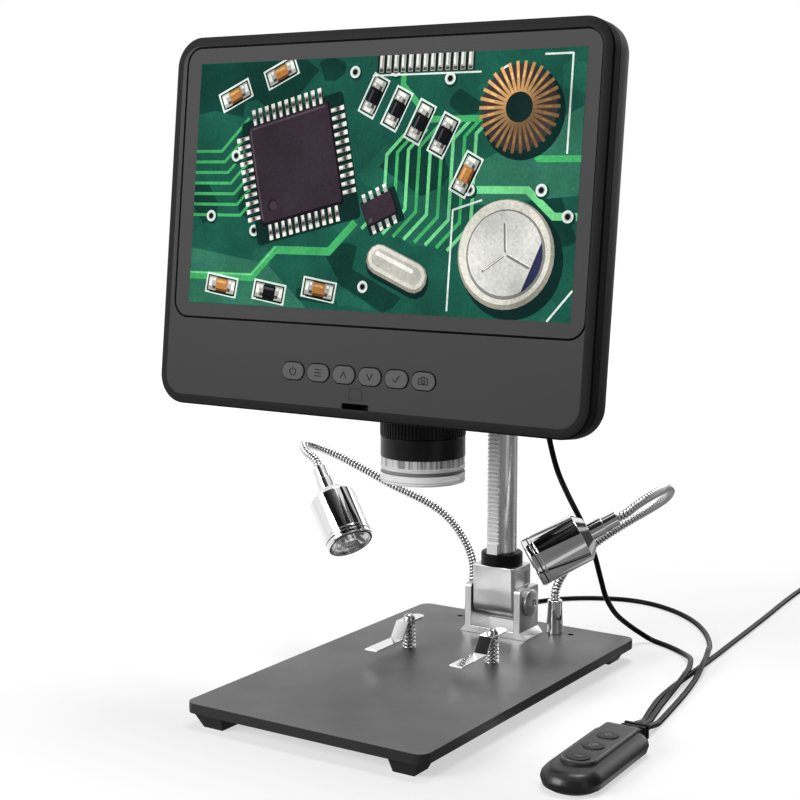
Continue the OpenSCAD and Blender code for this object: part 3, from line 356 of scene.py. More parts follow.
def noise(tree, at, scale, detail):
    return node(tree, "TexNoise", {"Vector": at, "Scale": scale, "Detail": detail}).outputs["Fac"]


def on_object(tree, stretch=None):
    """The object's own coordinates, stretched along its axes."""
    at = node(tree, "TexCoord").outputs["Object"]
    return node(tree, "Mapping", {"Vector": at, "Scale": stretch}).outputs["Vector"] if stretch else at


def grey_ramp(tree, factor, stops):
    """A grey ramp through (position, value) stops."""
    made = node(tree, "ValToRGB", {0: factor})
    elements = made.color_ramp.elements
    while len(elements) < len(stops):
        elements.new(0.5)
    for element, (position, value) in zip(elements, stops):
        assign(element, position=position, color=grey(value))
    return made.outputs["Color"]


def turn_about(tree, vector):
    """The turn of a direction about Z from -180 to 180 degrees, as 0 to 1, and the direction's height."""
    split = node(tree, "SeparateXYZ", {0: vector}).outputs
    turn = maths(tree, "ARCTAN2", split["Y"], split["X"])
    return maths(tree, "ADD", maths(tree, "DIVIDE", turn, TAU), 0.5), split["Z"]


# ---- materials
def new_material(name):
    material = bpy.data.materials.new(name)
    material.use_nodes = True
    tree = material.node_tree
    return material, tree, tree.nodes["Principled BSDF"]


NOISE_LOW, NOISE_HIGH = 0.3, 0.7
LEAST_ROUGH, GRAIN_STRENGTH = 0.02, 0.6


def finish(
    name, colour, rough, vary, grain=0.0, metal=0.0, specular=0.5, vary_scale=70, rough_vary=0.05,
    grain_scale=2600, stretch=(1, 1, 1), clear=0.0, ior=1.5,
):
    """A procedural material: colour and roughness drift softly, and a fine grain roughens the surface.

    vary is the share by which the colour drifts either way, and grain the height of the grain in millimetres.
    """
    material, tree, bsdf = new_material(name)
    at = on_object(tree, stretch)
    drift = noise(tree, at, vary_scale, 4)
    darker, lighter = ([*(min(1.0, c * share) for c in linear(colour)), 1] for share in (1 - vary, 1 + vary))
    spread = {"Value": drift, "From Min": NOISE_LOW, "From Max": NOISE_HIGH}
    spread |= {"To Min": max(LEAST_ROUGH, rough - rough_vary), "To Max": min(1.0, rough + rough_vary)}
    feed(tree, bsdf, {
        "Base Color": mix(tree, drift, darker, lighter),
        "Roughness": node(tree, "MapRange", spread).outputs["Result"],
        "Metallic": metal, "Specular IOR Level": specular, "Transmission Weight": clear, "IOR": ior,
    })
    if grain:
        bump = {"Height": noise(tree, at, grain_scale, 3), "Strength": GRAIN_STRENGTH, "Distance": grain * MM}
        feed(tree, bsdf, {"Normal": node(tree, "Bump", bump).outputs["Normal"]})
    return material


def streaked(material, dark, light, scale, low, high):
    """Gives a material upright streaks between two greys."""
    tree = material.node_tree
    streaks = noise(tree, on_object(tree, (1, 1, 0.03)), scale, 1)
    tones = [(low, linear(dark)[0]), (high, linear(light)[0])]
    feed(tree, tree.nodes["Principled BSDF"], {"Base Color": grey_ramp(tree, streaks, tones)})


def paint_side_shade(material, side_shade_tone, top_from=0.55, top_to=0.8):
    """Painted shade: faces that look up keep the material's colour, and the other faces take a darker tone."""
    tree = material.node_tree
    bsdf = tree.nodes["Principled BSDF"]
    drawn = bsdf.inputs["Base Color"].links[0].from_socket
    normal = node(tree, "SeparateXYZ", {0: node(tree, "NewGeometry").outputs["Normal"]})
    up = node(tree, "MapRange", {"Value": normal.outputs["Z"], "From Min": top_from, "From Max": top_to})
    feed(tree, bsdf, {"Base Color": mix(tree, up.outputs["Result"], colour_of(side_shade_tone), drawn)})


MOULDED = {"vary_scale": 30, "rough_vary": 0.02, "grain_scale": 3200}
SOFT_COVER = {"vary_scale": 30, "rough_vary": 0.02, "grain_scale": 2800}
# name, colour, roughness, drift of the colour, grain
bezel_plastic = finish("bezel plastic", 49, 0.5, 0.02, 0.012, specular=0.2, **MOULDED)
# the border and side copies of the bezel plastic below are painted darker as shade
border_shade_plastic = finish("bezel border painted shade", 40, 0.5, 0.02, 0.012, specular=0.04, **MOULDED)
side_shade_plastic = finish("bezel side painted shade", 16, 0.5, 0.03, 0.012, specular=0.03, **MOULDED)
cover_plastic = finish("cover plastic", 30, 0.45, 0.03, 0.02, specular=0.07, **SOFT_COVER)
button_plastic = finish("button plastic", 83, 0.5, 0.04, 0.01, specular=0.2)
mark_ink = finish("symbol ink", 44, 0.5, 0.1, 0.01, specular=0.2)
plate_paint = finish("plate coating", 82, 0.42, 0.07, 0.05, vary_scale=50, grain_scale=2400)
rubber = finish("rubber", 26, 0.68, 0.15, 0.05, grain_scale=1800)
satin_steel = finish("satin steel", 205, 0.3, 0.04, 0.002, 1.0, vary_scale=30, rough_vary=0.03, grain_scale=3000)
chrome = finish("chrome", 236, 0.05, 0.02, metal=1.0, rough_vary=0.02)
spring_steel = finish("spring steel", 215, 0.14, 0.05, metal=1.0)
screw_steel = finish("screw steel", 200, 0.2, 0.06, 0.004, 1.0)
black_plastic = finish("black plastic", 14, 0.4, 0.12, 0.02, specular=0.12)
carriage_black = finish("carriage coating", 18, 0.5, 0.1, 0.03, specular=0.3, grain_scale=2000)
lens_black = finish("anodised lens black", 18, 0.3, 0.08, 0.004, specular=0.25)
cord_skin = finish("cord sheath", 12, 0.26, 0.1, specular=0.1, vary_scale=120, rough_vary=0.02)
remote_plastic = finish("remote plastic", 32, 0.3, 0.05, 0.012, specular=0.35, vary_scale=60, grain_scale=2400)
remote_key = finish("remote key", 32, 0.45, 0.08, 0.02, specular=0.3)
# a light grey painted highlight for the edge of the remote's panel
remote_edge_highlight = finish("remote edge painted highlight", 125, 0.4, 0.12, specular=0.3)
remote_symbol = finish("remote symbol", 112, 0.45, 0.12, specular=0.3)
sleeve_metal = finish("plug sleeve", 205, 0.22, 0.05, 0.002, 1.0, vary_scale=200)
clear_plastic = finish("clear plastic", 250, 0.05, 0.0, rough_vary=0.02, clear=1.0, ior=1.49)
frosted_plastic = finish(
    "frosted plastic", 190, 0.35, 0.3, vary_scale=520, rough_vary=0.1, stretch=(1, 1, 0.04), clear=0.2, ior=1.49,
)
board_green = finish("circuit board", (32, 84, 52), 0.45, 0.15, 0.02, vary_scale=400)
white_board = finish("white board", 228, 0.5, 0.04, 0.01)
led_yellow = finish("lamp emitter", (236, 214, 120), 0.4, 0.06, 0.01)
window_plastic = finish(
    "window surround", 59, 0.5, 0.015, 0.006, specular=0.15, vary_scale=20, rough_vary=0.02, grain_scale=3000,
)
panel_metal = finish("panel case", 150, 0.4, 0.06, 0.02, 0.8)
socket_metal = finish("socket metal", 40, 0.5, 0.06, 0.01, 1.0)
groove_grey = finish("ring groove", 128, 0.4, 0.15, vary_scale=500, stretch=(1, 1, 0.05))
ring_clear = finish("light ring plastic", 255, 0.04, 0.01, vary_scale=200, rough_vary=0.02, clear=0.45, ior=1.3)
gooseneck_steel = finish("gooseneck steel", 225, 0.16, 0.04, metal=1.0)
# darker metal painted in the gooseneck's grooves as shade
gooseneck_groove_shade = finish("gooseneck groove painted shade", 70, 0.3, 0.1, metal=1.0)
post_steel = finish("post steel", 224, 0.2, 0.02, metal=1.0, rough_vary=0.02)
rack_steel = finish("rack plating", 238, 0.35, 0.02, metal=0.25, rough_vary=0.02)
# near black painted into gaps and hole walls as painted shade
gap_shade_black = finish("gap painted shade", 6, 0.8, 0.1, specular=0.05)
streaked(frosted_plastic, dark=150, light=236, scale=620, low=0.42, high=0.56)
# the plate's sides get a darker tone: painted shade
paint_side_shade(plate_paint, side_shade_tone=36)

# ---- camera, light, floor
scene = bpy.context.scene
scene.view_settings.view_transform = "Standard"

CAMERA_AT = (0.37607, -0.59938, 0.22025)
CAMERA_AZIMUTH, CAMERA_PITCH, CAMERA_LENS = 32.997, 7.951, 73.222
camera_data = assign(bpy.data.cameras.new("camera"), lens=CAMERA_LENS, sensor_width=36, clip_start=0.05, clip_end=20)
camera_turn = (math.radians(90 - CAMERA_PITCH), 0, math.radians(CAMERA_AZIMUTH))
camera = assign(bpy.data.objects.new("camera", camera_data), location=CAMERA_AT, rotation_euler=camera_turn)
scene.collection.objects.link(camera)
scene.camera = camera


def area_light(name, at, to, size, power):
    data = assign(bpy.data.lights.new(name, "AREA"), shape="RECTANGLE", size=size[0], size_y=size[1], energy=power)
    turn = Vector(np.subtract(to, at)).to_track_quat("-Z", "Y").to_euler()
    light = assign(bpy.data.objects.new(name, data), location=at, rotation_euler=turn)
    scene.collection.objects.link(light)


area_light("overhead", (0.06, 0.25, 1.3), (0.0, 0.03, 0.05), (0.6, 0.5), 12)
area_light("front left", (-0.9, -1.6, 0.9), (0.0, 0.0, 0.12), (1.0, 1.0), 36)
area_light("back right", (0.5, 1.7, 0.6), (0.0, 0.0, 0.2), (0.8, 1.0), 5)

AMBIENT = 0.09
# (turn about Z or height as 0 to 1, brightness): what gloss mirrors of the room and of the floor
ROOM_BANDS = [
    (0.0, 0.95), (0.125, 0.95), (0.133, 0.02), (0.16, 0.04), (0.2, 0.28), (0.27, 0.24), (0.3, 0.18),
    (0.40, 0.16), (0.42, 0.8), (0.46, 0.8), (0.475, 0.1), (0.63, 0.05), (0.645, 0.5), (0.665, 0.5),
    (0.68, 0.05), (0.73, 0.05), (0.75, 0.95), (0.9, 1.0), (1.0, 0.95),
]
ROOM_HEIGHTS = [(0.0, 0.0), (0.5, 0.0), (0.86, 0.0), (0.92, 0.7), (1.0, 0.9)]
FLOOR_BANDS = [
    (0.0, 0.9), (0.09, 0.8), (0.14, 0.34), (0.2, 0.28), (0.3, 0.2), (0.405, 0.16), (0.425, 0.6), (0.455, 0.6),
    (0.475, 0.18), (0.62, 0.12), (0.64, 0.45), (0.665, 0.45), (0.685, 0.15), (0.73, 0.3), (0.76, 0.95), (1.0, 1.0),
]
FLOOR_SIZE, FLOOR_DROP = 6.0, 0.00005
FLOOR_WHITE, FLOOR_MIRROR = 0.4, 0.05
FLOOR_GLOW = {"From Min": 0.25, "From Max": 1.3, "To Min": 0.58, "To Max": 1.0}


def build_world():
    """White to the camera, a softly lit room to the rest, with dark cards that give metal its contrast."""
    world = bpy.data.worlds.new("studio")
    scene.world = world
    world.use_nodes = True
    tree = world.node_tree
    turn, up = turn_about(tree, node(tree, "TexCoord").outputs["Generated"])
    height = grey_ramp(tree, scaled(tree, up, 0.5, 0.5), ROOM_HEIGHTS)
    room = mix(tree, height, grey_ramp(tree, turn, ROOM_BANDS), WHITE)
    rays = node(tree, "LightPath").outputs
    mirrored = maths(tree, "MAXIMUM", rays["Is Glossy Ray"], rays["Is Transmission Ray"])
    lit = mix(tree, mirrored, grey(AMBIENT), room)
    feed(tree, tree.nodes["Background"], {"Color": mix(tree, rays["Is Camera Ray"], lit, WHITE), "Strength": 1.0})


def build_floor():
    """A pale table that keeps the object's shadow, and glows white to the camera and through clear pieces."""
    bpy.ops.mesh.primitive_plane_add(size=FLOOR_SIZE, location=(0, 0, TABLE_Z * MM - FLOOR_DROP))
    floor = bpy.context.object
    floor.name = "floor"
    material, tree, _ = new_material("floor paint")
    tree.nodes.clear()
    position = node(tree, "NewGeometry").outputs["Position"]
    # the lamps fade with distance, so the floor's own white grows outwards into the backdrop's
    away = node(tree, "VectorMath", {0: position}, operation="LENGTH").outputs["Value"]
    white = node(tree, "MapRange", {"Value": away, **FLOOR_GLOW}).outputs["Result"]
    rays = node(tree, "LightPath").outputs
    plain = maths(tree, "MULTIPLY", white, rays["Is Camera Ray"])
    clear = maths(tree, "MULTIPLY", white, rays["Is Transmission Ray"])
    mirrored = grey_ramp(tree, turn_about(tree, position)[0], FLOOR_BANDS)
    mirrored = maths(tree, "MULTIPLY", mirrored, rays["Is Glossy Ray"])
    glow = maths(tree, "MAXIMUM", maths(tree, "MAXIMUM", plain, mirrored), clear)
    body = mix(tree, rays["Is Glossy Ray"], grey(FLOOR_WHITE), grey(FLOOR_MIRROR))
    both = node(tree, "AddShader", {
        0: node(tree, "BsdfDiffuse", {"Color": body}).outputs[0],
        1: node(tree, "Emission", {"Strength": glow}).outputs[0],
    })
    node(tree, "OutputMaterial", {"Surface": both.outputs[0]})
    floor.data.materials.append(material)


build_world()
build_floor()

# ---- cords
MONITOR_FALL = [
    (45, 1, 146), (45, 11, 140.5), (45, 19, 132), (45, 25.5, 120), (45, 31.2, 104.7),
    (45, 39.6, 88.7), (45, 50, 76), (45, 62, 63.3),
]
MONITOR_LAND = [
    (45, 71, 52.5), (45, 79, 41.5), (45, 85.9, 28.8), (45, 92, 18.5), (45.3, 102.3, 8.2),
    (46.4, 113, 0.8), (49, 121.3, -5), (54, 124.6, -8.8),
]
# a third value is the cord's lift off the table
MONITOR_TABLE = [
    (61, 122.6), (69, 118.3), (77, 112, 0.3), (84, 103, 1.7), (88.4, 93.5, 2.85), (91.6, 84, 2.85),
    (93.8, 74, 2.85), (95.6, 62, 1.9), (97.7, 43), (100.6, 28), (103.8, 13),
]
LAMP_TABLE = [
    (-24.5, 106), (-27.5, 118), (-31.5, 130), (-32.5, 144), (-29.5, 156),
    (-24, 166.5), (-15, 176.5), (-3, 184.5), (11, 189.5), (25, 189), (40, 183),
    (53, 173.8), (64, 162.5), (75, 146.5), (83.6, 128.5, 0.9), (87.9, 116, 2.7),
    (91.5, 104.5, 2.7), (94.5, 93, 2.7), (97.4, 79, 0.8), (101.5, 56), (105, 33), (107.6, 14),
]
POWER_TABLE = [
    (101.4, 13), (97.9, 28), (94.9, 43), (93.2, 60), (92.4, 78), (91.8, 98),
    (90.8, 120), (89.4, 144), (88, 170), (86.2, 200), (84, 232), (82.8, 262),
]
RELIEF_END, RELIEF_Z, EXIT_GAP = 44.5, 3.6, 2.9
COIL_STEPS, COIL_SHIFT = 48, 0.14


def on_table(route):
    return [(x, y, TABLE_CORD_Z + sum(lift)) for x, y, *lift in route]


def relief_out(i, on=0.0):
    """The end of the remote's strain relief for cord i, or a point farther out."""
    return REMOTE([(i * EXIT_GAP, RELIEF_END + on, RELIEF_Z)])[0]


def coil_path():
    """Turns side by side in two layers, inwards below and outwards above."""
    outer = COIL_R + (COIL_ROWS - 1) / 2 * COIL_ROW
    low, high = TABLE_CORD_Z, TABLE_CORD_Z + COIL_ROW
    rows = [outer - i * COIL_ROW for i in range(COIL_ROWS)]
    rows = [(r, low) for r in rows] + [(r, high) for r in reversed(rows)]
    points = []
    turns = len(rows) - 1 + 0.25  # the quarter turn leaves the end heading +X
    for i in range(1, round(turns * COIL_STEPS) + 1):
        at = i / COIL_STEPS
        row = min(int(at), len(rows) - 1)
        share = at - row
        r, z = rows[row]
        if row + 1 < len(rows) and share > 1 - COIL_SHIFT:
            u = (share - 1 + COIL_SHIFT) / COIL_SHIFT
            u = u * u * (3 - 2 * u)
            r += (rows[row + 1][0] - r) * u
            z += (rows[row + 1][1] - z) * u
        a = math.pi - at * TAU
        points.append((COIL_AT[0] + r * math.cos(a), COIL_AT[1] + r * math.sin(a), z))
    return outer, points


def make_cord(name, body, route, nodes, exit_at, far_end, lay, blend=None, step=2.0, **more):
    """A cord as a mesh tube along a smooth route."""
    path = smooth_path(route, step)
    path[:, 2] = np.maximum(path[:, 2], TABLE_CORD_Z)
    obj = piece(name, body, sweep(Shape(), path, CORD_R, 14), cord_skin, slot="cord", replaces=nodes, sharp=60)
    if blend:
        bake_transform(obj)


# where the monitor's cord passes from the column to the base, in metres
FALL_END, LAND_END = (0.045, 0.062, 0.0633), (0.0455, 0.1023, 0.0082)
MONITOR_RELIEF = SCREEN([(45, -63.1, -33.5)])[0]
MONITOR_LEAD = SCREEN([(45, -63.1, -38.5)])[0]
LAMP_EXIT = (-24, 88.3, TABLE_CORD_Z + 3)
PLUG_AT = (COIL_AT[0] + 20, COIL_AT[1] + COIL_R, TABLE_Z + 2.8)

make_cord(
    "monitor_lead_upper", None, [MONITOR_RELIEF, MONITOR_LEAD, *MONITOR_FALL], ["monitor_cord_upper"],
    MONITOR_RELIEF, "object", "hanging",
    blend=("head", "column", tuple(MONITOR_LEAD * MM), FALL_END),
)
make_cord(
    "monitor_lead_lower", None,
    [MONITOR_FALL[-1], *MONITOR_LAND, *on_table(MONITOR_TABLE), relief_out(0, 5), relief_out(0)],
    ["monitor_cord_lower"], MONITOR_FALL[-1], "object", "loose",
    blend=("column", "base", FALL_END, LAND_END),
)
make_cord(
    "lamp_lead", "base",
    [LAMP_EXIT, (-24, 94.5, TABLE_CORD_Z + 3), *on_table(LAMP_TABLE), relief_out(1, 5), relief_out(1)],
    ["lamp_cord"], LAMP_EXIT, "object", "loose",
)

PLUG_SLEEVE_CORNER = 0.5
PLUG_SLEEVE = [  # width, height and distance from the cord's end
    (9.7, 3.7, 29.9), (9.9, 3.9, 30.0), (9.9, 3.9, 41.9), (9.7, 3.7, 42.1), (9.3, 3.3, 42.1), (9.2, 3.2, 41.95),
]


def plug_sleeve():
    """The metal sleeve round the tongue of the plug."""
    rings = [level(rounded(w, h, PLUG_SLEEVE_CORNER, steps=4), z) for w, h, z in PLUG_SLEEVE]
    place = Place(PLUG_AT, (0, 1, 0), (0, 0, 1), (1, 0, 0))
    shape = Shape().loft(rings, caps=(True, False))
    return piece("plug_sleeve", "base", shape, sleeve_metal, place, slot="socket_metal", weighted=True)


def coil_tie(angle=-0.7, wide=3.0, thick=0.6):
    """A flat band round the bundle of turns."""
    inner = COIL_R - COIL_ROWS / 2 * COIL_ROW
    w, h = COIL_ROWS * COIL_ROW + 2 * thick, 2 * COIL_ROW + 1.4 * thick
    middle = (inner + COIL_ROWS * COIL_ROW / 2, h / 2)
    c, s = math.cos(angle), math.sin(angle)
    place = Place((*COIL_AT, TABLE_Z), (c, s, 0), (0, 0, 1), (s, -c, 0))
    outer = [level(rounded(w, h, 1.3, middle, 6), z) for z in (-wide / 2, wide / 2)]
    within = [level(rounded(w - 2 * thick, h - 2 * thick, 0.9, middle, 6), z) for z in (wide / 2, -wide / 2)]
    shape = Shape().loft([*outer, *within, outer[0]])
    return piece("coil_tie", "base", shape, black_plastic, place, slot="black_plastic", weighted=True)


coil_outer, coil_points = coil_path()
power_route = [
    relief_out(-1), relief_out(-1, 5), *on_table(POWER_TABLE),
    (COIL_AT[0] - coil_outer, COIL_AT[1] - 11, TABLE_CORD_Z), (COIL_AT[0] - coil_outer, COIL_AT[1], TABLE_CORD_Z),
    *coil_points, (COIL_AT[0] + 7, COIL_AT[1] + coil_outer - 0.6, TABLE_Z + 3.6),
    (PLUG_AT[0] - 5, PLUG_AT[1], PLUG_AT[2]), PLUG_AT,
]
make_cord(
    "power_lead", "base", power_route, ["power_cord", "power_cord_coil"], relief_out(-1), "plug", "loose",
    step=1.6, with_pieces=[NODES["usb_plug"], plug_sleeve(), coil_tie()],
)

# ---- the CAD nodes that stay
DRESS = (  # material, round of the edges, nodes
    (plate_paint, 0.35, "base_plate"),
    (rubber, 0.5, "rubber_feet"),
    (screw_steel, 0.1, "pinion_shaft"),
    (screw_steel, 0.15, "base_screws", "clip_screws", "housing_screws"),
    (screw_steel, 0.2, "socket_nuts", "pivot_nut"),
    (satin_steel, 0.2, "pivot_bolt"),
    (satin_steel, 0.3, "hinge_bracket", "pivot_block"),
    (chrome, 0.1, "clip_left", "clip_right"),
    (chrome, 0.2, "lamp_head_left", "lamp_head_right"),
    (chrome, 0.3, "lamp_sockets"),
    (post_steel, 0.2, "post_tube"),
    (rack_steel, 0.05, "rack_bar"),
    (black_plastic, 0.2, "focus_knobs"),
    (black_plastic, 0.3, "wiring_cover", "post_collar", "monitor_cord_relief", "remote_strain_relief"),
    (black_plastic, 0.4, "post_cap", "usb_plug"),
    (carriage_black, 0.6, "focus_carriage"),
    (cover_plastic, 0.4, "rear_cover"),
    (panel_metal, 0.2, "lcd_panel"),
    (window_plastic, 0.2, "display_window"),
    (board_green, 0, "main_board", "sensor_board"),
    (white_board, 0.1, "led_board"),
    (socket_metal, 0.1, "card_socket"),
    (lens_black, 0.12, "focus_ring"),
    (lens_black, 0.3, "objective_lens"),
    (lens_black, 0.4, "camera_barrel"),
    (button_plastic, 0.3, *(f"button_{n}" for n in BUTTON_NAMES)),
    (remote_plastic, 0.3, "remote_top_shell", "remote_bottom_shell"),
    (remote_key, 0.3, "remote_button_top", "remote_button_middle", "remote_button_bottom"),
)
for material, bevel, *names in DRESS:
    for name in names:
        keep(name, material, bevel)

# ---- monitor: bezel and picture
HOUSING_W, HOUSING_UP, HOUSING_DOWN, HOUSING_X = 213.2, 64.1, 96.9, -0.7
HOUSING_CORNER, BEZEL_DEPTH, BEZEL_WALL, FACE_T, REAR_EDGE = 13.0, 6.5, 2.4, 2.6, 0.35
BORDER_W, BORDER_DROP, BORDER_STEPS = 4.2, 1.6, 10
WINDOW_W, WINDOW_H, WINDOW_AT, WINDOW_CORNER, WINDOW_GAP = 202.2, 117.6, (0.65, 0.35), 7.2, 0.45
PICTURE_W, PICTURE_H, PICTURE_X, PICTURE_Z = 188.2, 104.4, 1.3, -0.05
BUTTON_W, BUTTON_H, BUTTON_PITCH, BUTTON_ROW = 11.2, 7.2, 13.0, -0.7
BUTTON_DROP, BUTTON_GAP, BUTTON_PROUD = 78.7, 0.3, 0.5
SLOT_W, SLOT_H, SLOT_CORNER, SLOT_X, SLOT_DROP = 13.1, 2.6, 0.5, -0.85, HOUSING_DOWN - 5.15
HOLE_CHAMFER = 0.3
# the bezel's materials; its border and side wall are painted darker than its front, as painted shade from the front
# round to the side
FRONT, SHADED_WALL, SHADED_BORDER, SHADED_SIDE = range(4)
BEZEL_MARKS = [SHADED_SIDE] * 7 + [SHADED_BORDER] * 6 + [FRONT]


def button_x(i):
    return BUTTON_ROW + (i - 2.5) * BUTTON_PITCH


def bezel_shape():
    """A tray with a rounded front border, its front pierced for the window, the buttons and the card slot."""
    middle = (HOUSING_X, (HOUSING_UP - HOUSING_DOWN) / 2)

    def outline(inset, z):
        size = (HOUSING_W - 2 * inset, HOUSING_UP + HOUSING_DOWN - 2 * inset)
        return level(rounded(*size, HOUSING_CORNER - inset, middle, 16), z)

    holes = [(WINDOW_W + 2 * WINDOW_GAP, WINDOW_H + 2 * WINDOW_GAP, WINDOW_CORNER + WINDOW_GAP, WINDOW_AT)]
    w, h = BUTTON_W + 2 * BUTTON_GAP, BUTTON_H + 2 * BUTTON_GAP
    holes += [(w, h, h / 2 - 0.01, (button_x(i), -BUTTON_DROP)) for i in range(len(BUTTON_NAMES))]
    holes.append((SLOT_W, SLOT_H, SLOT_CORNER, (SLOT_X, -SLOT_DROP)))

    def hole(row, grow, z):
        w, h, r, at = row
        return level(rounded(w + 2 * grow, h + 2 * grow, r + grow, at, 8), z)

    shape = Shape()
    rings = [outline(BEZEL_WALL, -FACE_T), outline(BEZEL_WALL, -BEZEL_DEPTH)]
    rings += [outline(REAR_EDGE, -BEZEL_DEPTH), outline(0, REAR_EDGE - BEZEL_DEPTH)]
    for t in np.linspace(0, QUARTER, BORDER_STEPS):
        rings.append(outline(BORDER_W * (1 - math.cos(t)), BORDER_DROP * (math.sin(t) - 1)))
    shape.loft(rings, BEZEL_MARKS)
    shape.sheet(outline(BORDER_W, 0), [hole(row, HOLE_CHAMFER, 0) for row in holes], 0)
    shape.sheet(outline(BEZEL_WALL, -FACE_T), [hole(row, 0, -FACE_T) for row in holes], -FACE_T)
    for row in holes:
        cut = []
        for t in np.linspace(0, QUARTER, 4):
            cut.append(hole(row, HOLE_CHAMFER * (1 - math.sin(t)), HOLE_CHAMFER * (math.cos(t) - 1)))
        # the inner half of each hole's round and its wall take the near-black painted shade
        shape.loft([*cut, hole(row, 0, -FACE_T)], [FRONT, FRONT, SHADED_WALL, SHADED_WALL])
    return shape


piece(
    "bezel_moulding", "head", bezel_shape(), [bezel_plastic, gap_shade_black, border_shade_plastic, side_shade_plastic], SCREEN,
    sharp=24, slot="bezel_plastic", replaces=["front_bezel"], weighted=True,
)

# a near-black strip laid in the gap round the window: painted shade where the groove is dark
GAP_SHADE_TOP, GAP_SHADE_LAP = -0.08, 0.4
GAP_SHADE_SECTION = [  # growth from the window's outline, height
    (WINDOW_GAP + HOLE_CHAMFER / 2, -HOLE_CHAMFER - 0.5), (WINDOW_GAP + 0.02, GAP_SHADE_TOP - 0.1),
    (WINDOW_GAP - 0.1, GAP_SHADE_TOP), (-GAP_SHADE_LAP, GAP_SHADE_TOP), (-GAP_SHADE_LAP, GAP_SHADE_TOP - 0.3),
]
gap_shade_rings = []
for grow, z in GAP_SHADE_SECTION:
    ring = rounded(WINDOW_W + 2 * grow, WINDOW_H + 2 * grow, WINDOW_CORNER + grow, WINDOW_AT, 8)
    gap_shade_rings.append(level(ring, z))
gap_shade_strip = Shape().loft([*gap_shade_rings, gap_shade_rings[0]])
piece("window_gap_shade", "head", gap_shade_strip, gap_shade_black, SCREEN, sharp=40, slot="rubber")


LINE_LAP = 0.2


class Painter:
    """Flat coloured shapes, later ones over earlier ones, cut into one sheet."""

    def __init__(self, width, height, tone):
        self.loops, self.tones = [rounded(width, height, 0.01, (0, 0), 1)], [tone]
        self.pose()

    def pose(self, x=0.0, y=0.0, degrees=0.0):
        """Where and at what turn the next shapes are drawn."""
        self.at, self.turn = (x, y), math.radians(degrees)

    def add(self, loop, tone):
        c, s = math.cos(self.turn), math.sin(self.turn)
        loop = np.asarray(loop, float)[:, :2] @ np.array([[c, s], [-s, c]]) + self.at
        area = loop[:, 0] @ np.roll(loop[:, 1], -1) - loop[:, 1] @ np.roll(loop[:, 0], -1)
        self.loops.append(loop if area > 0 else loop[::-1])
        self.tones.append(tone)

    def box(self, x, y, w, h, tone, r=0.0):
        if r:
            self.add(rounded(w, h, r, (x, y), 3), tone)
        else:
            left, right, low, high = x - w / 2, x + w / 2, y - h / 2, y + h / 2
            self.add([(left, low), (right, low), (right, high), (left, high)], tone)

    def boxes(self, *rows):
        for row in rows:
            self.box(*row)

    def disc(self, x, y, r, tone, sides=20):
        a = np.linspace(0, TAU, sides, endpoint=False)
        self.add(np.column_stack([x + r * np.cos(a), y + r * np.sin(a)]), tone)

    def line(self, points, width, tone):
        for a, b in zip(points[:-1], points[1:]):
            a, b = np.array(a, float), np.array(b, float)
            way = unit(b - a)
            side = np.array([-way[1], way[0]]) * width / 2
            a, b = a - way * width * LINE_LAP, b + way * width * LINE_LAP
            self.add([a - side, b - side, b + side, a + side], tone)

    def ray(self, x, y, angle, start, end, width, tone):
        """A line outwards from near a centre."""
        way = np.array([math.cos(angle), math.sin(angle)])
        self.line([np.array([x, y]) + start * way, np.array([x, y]) + end * way], width, tone)

    def sheet(self, x, z):
        """Every spot takes the tone of the last shape over it."""
        points, faces = [], []
        for loop in self.loops:
            faces.append(list(range(len(points), len(points) + len(loop))))
            points += [tuple(p) for p in loop]
        made, _, cells, _, _, owners = delaunay_2d_cdt(points, [], faces, 1, 1e-5)
        groups = {}
        for cell, owner in zip(cells, owners):
            if 0 in owner:
                groups.setdefault(self.tones[max(owner)], []).append(list(cell))
        shape = Shape()
        shape.begin([(p[0] + x, p[1], z) for p in made])
        for tone, group in groups.items():
            shape.add(group, tint=tone)
        return shape


BOARD, BOARD_DARK, BOARD_MID, BOARD_LIGHT = (24, 84, 68), (12, 58, 48), (30, 94, 76), (46, 108, 86)
SHADE, CHIP_SHADE, PART_SHADE = (8, 40, 36), (10, 44, 38), (6, 24, 20)
TRACK, TRACK_LIGHT, INK = (66, 168, 98), (112, 206, 136), (222, 234, 226)
CHIP, CHIP_EDGE, CHIP_LIGHT = (52, 42, 50), (22, 17, 22), (84, 72, 80)
METAL, METAL_LIGHT, METAL_DARK = (168, 168, 162), (238, 238, 230), (74, 72, 70)
CREAM, CREAM_DARK, TAN, TAN_LIGHT = (214, 212, 200), (150, 146, 134), (176, 118, 62), (214, 164, 106)
BLACK, BLACK_TOP = (18, 18, 20), (70, 70, 72)
VIAS = [
    (-72, 12), (-84, -14), (-60, -20), (-2, -42), (34, 42), (60, 44), (90, -12), (46, -2), (8, 46), (-12, 46), (78, -2),
]
SMALL_PARTS = [  # place, turn in degrees, tones
    (-74, 38, 24, TAN, TAN_LIGHT), (-50, 47, 24, TAN, TAN_LIGHT),
    *((-2 + 11.5 * k, 36 - 5.5 * k, 64, BLACK, BLACK_TOP) for k in range(4)),
    (-76, -44, -8, TAN, TAN_LIGHT), (-50, -46, -8, BLACK, (74, 74, 76)), (-24, -44, -8, TAN, TAN_LIGHT),
    (44, 4, 64, TAN, TAN_LIGHT),
]
PRINTED = [
    [(84, -52), (94, -40)], [(39, -50), (39, -10)], [(39, -10), (52, -6)], [(88, 50), (88, 12)], [(76, 50), (88, 50)],
]


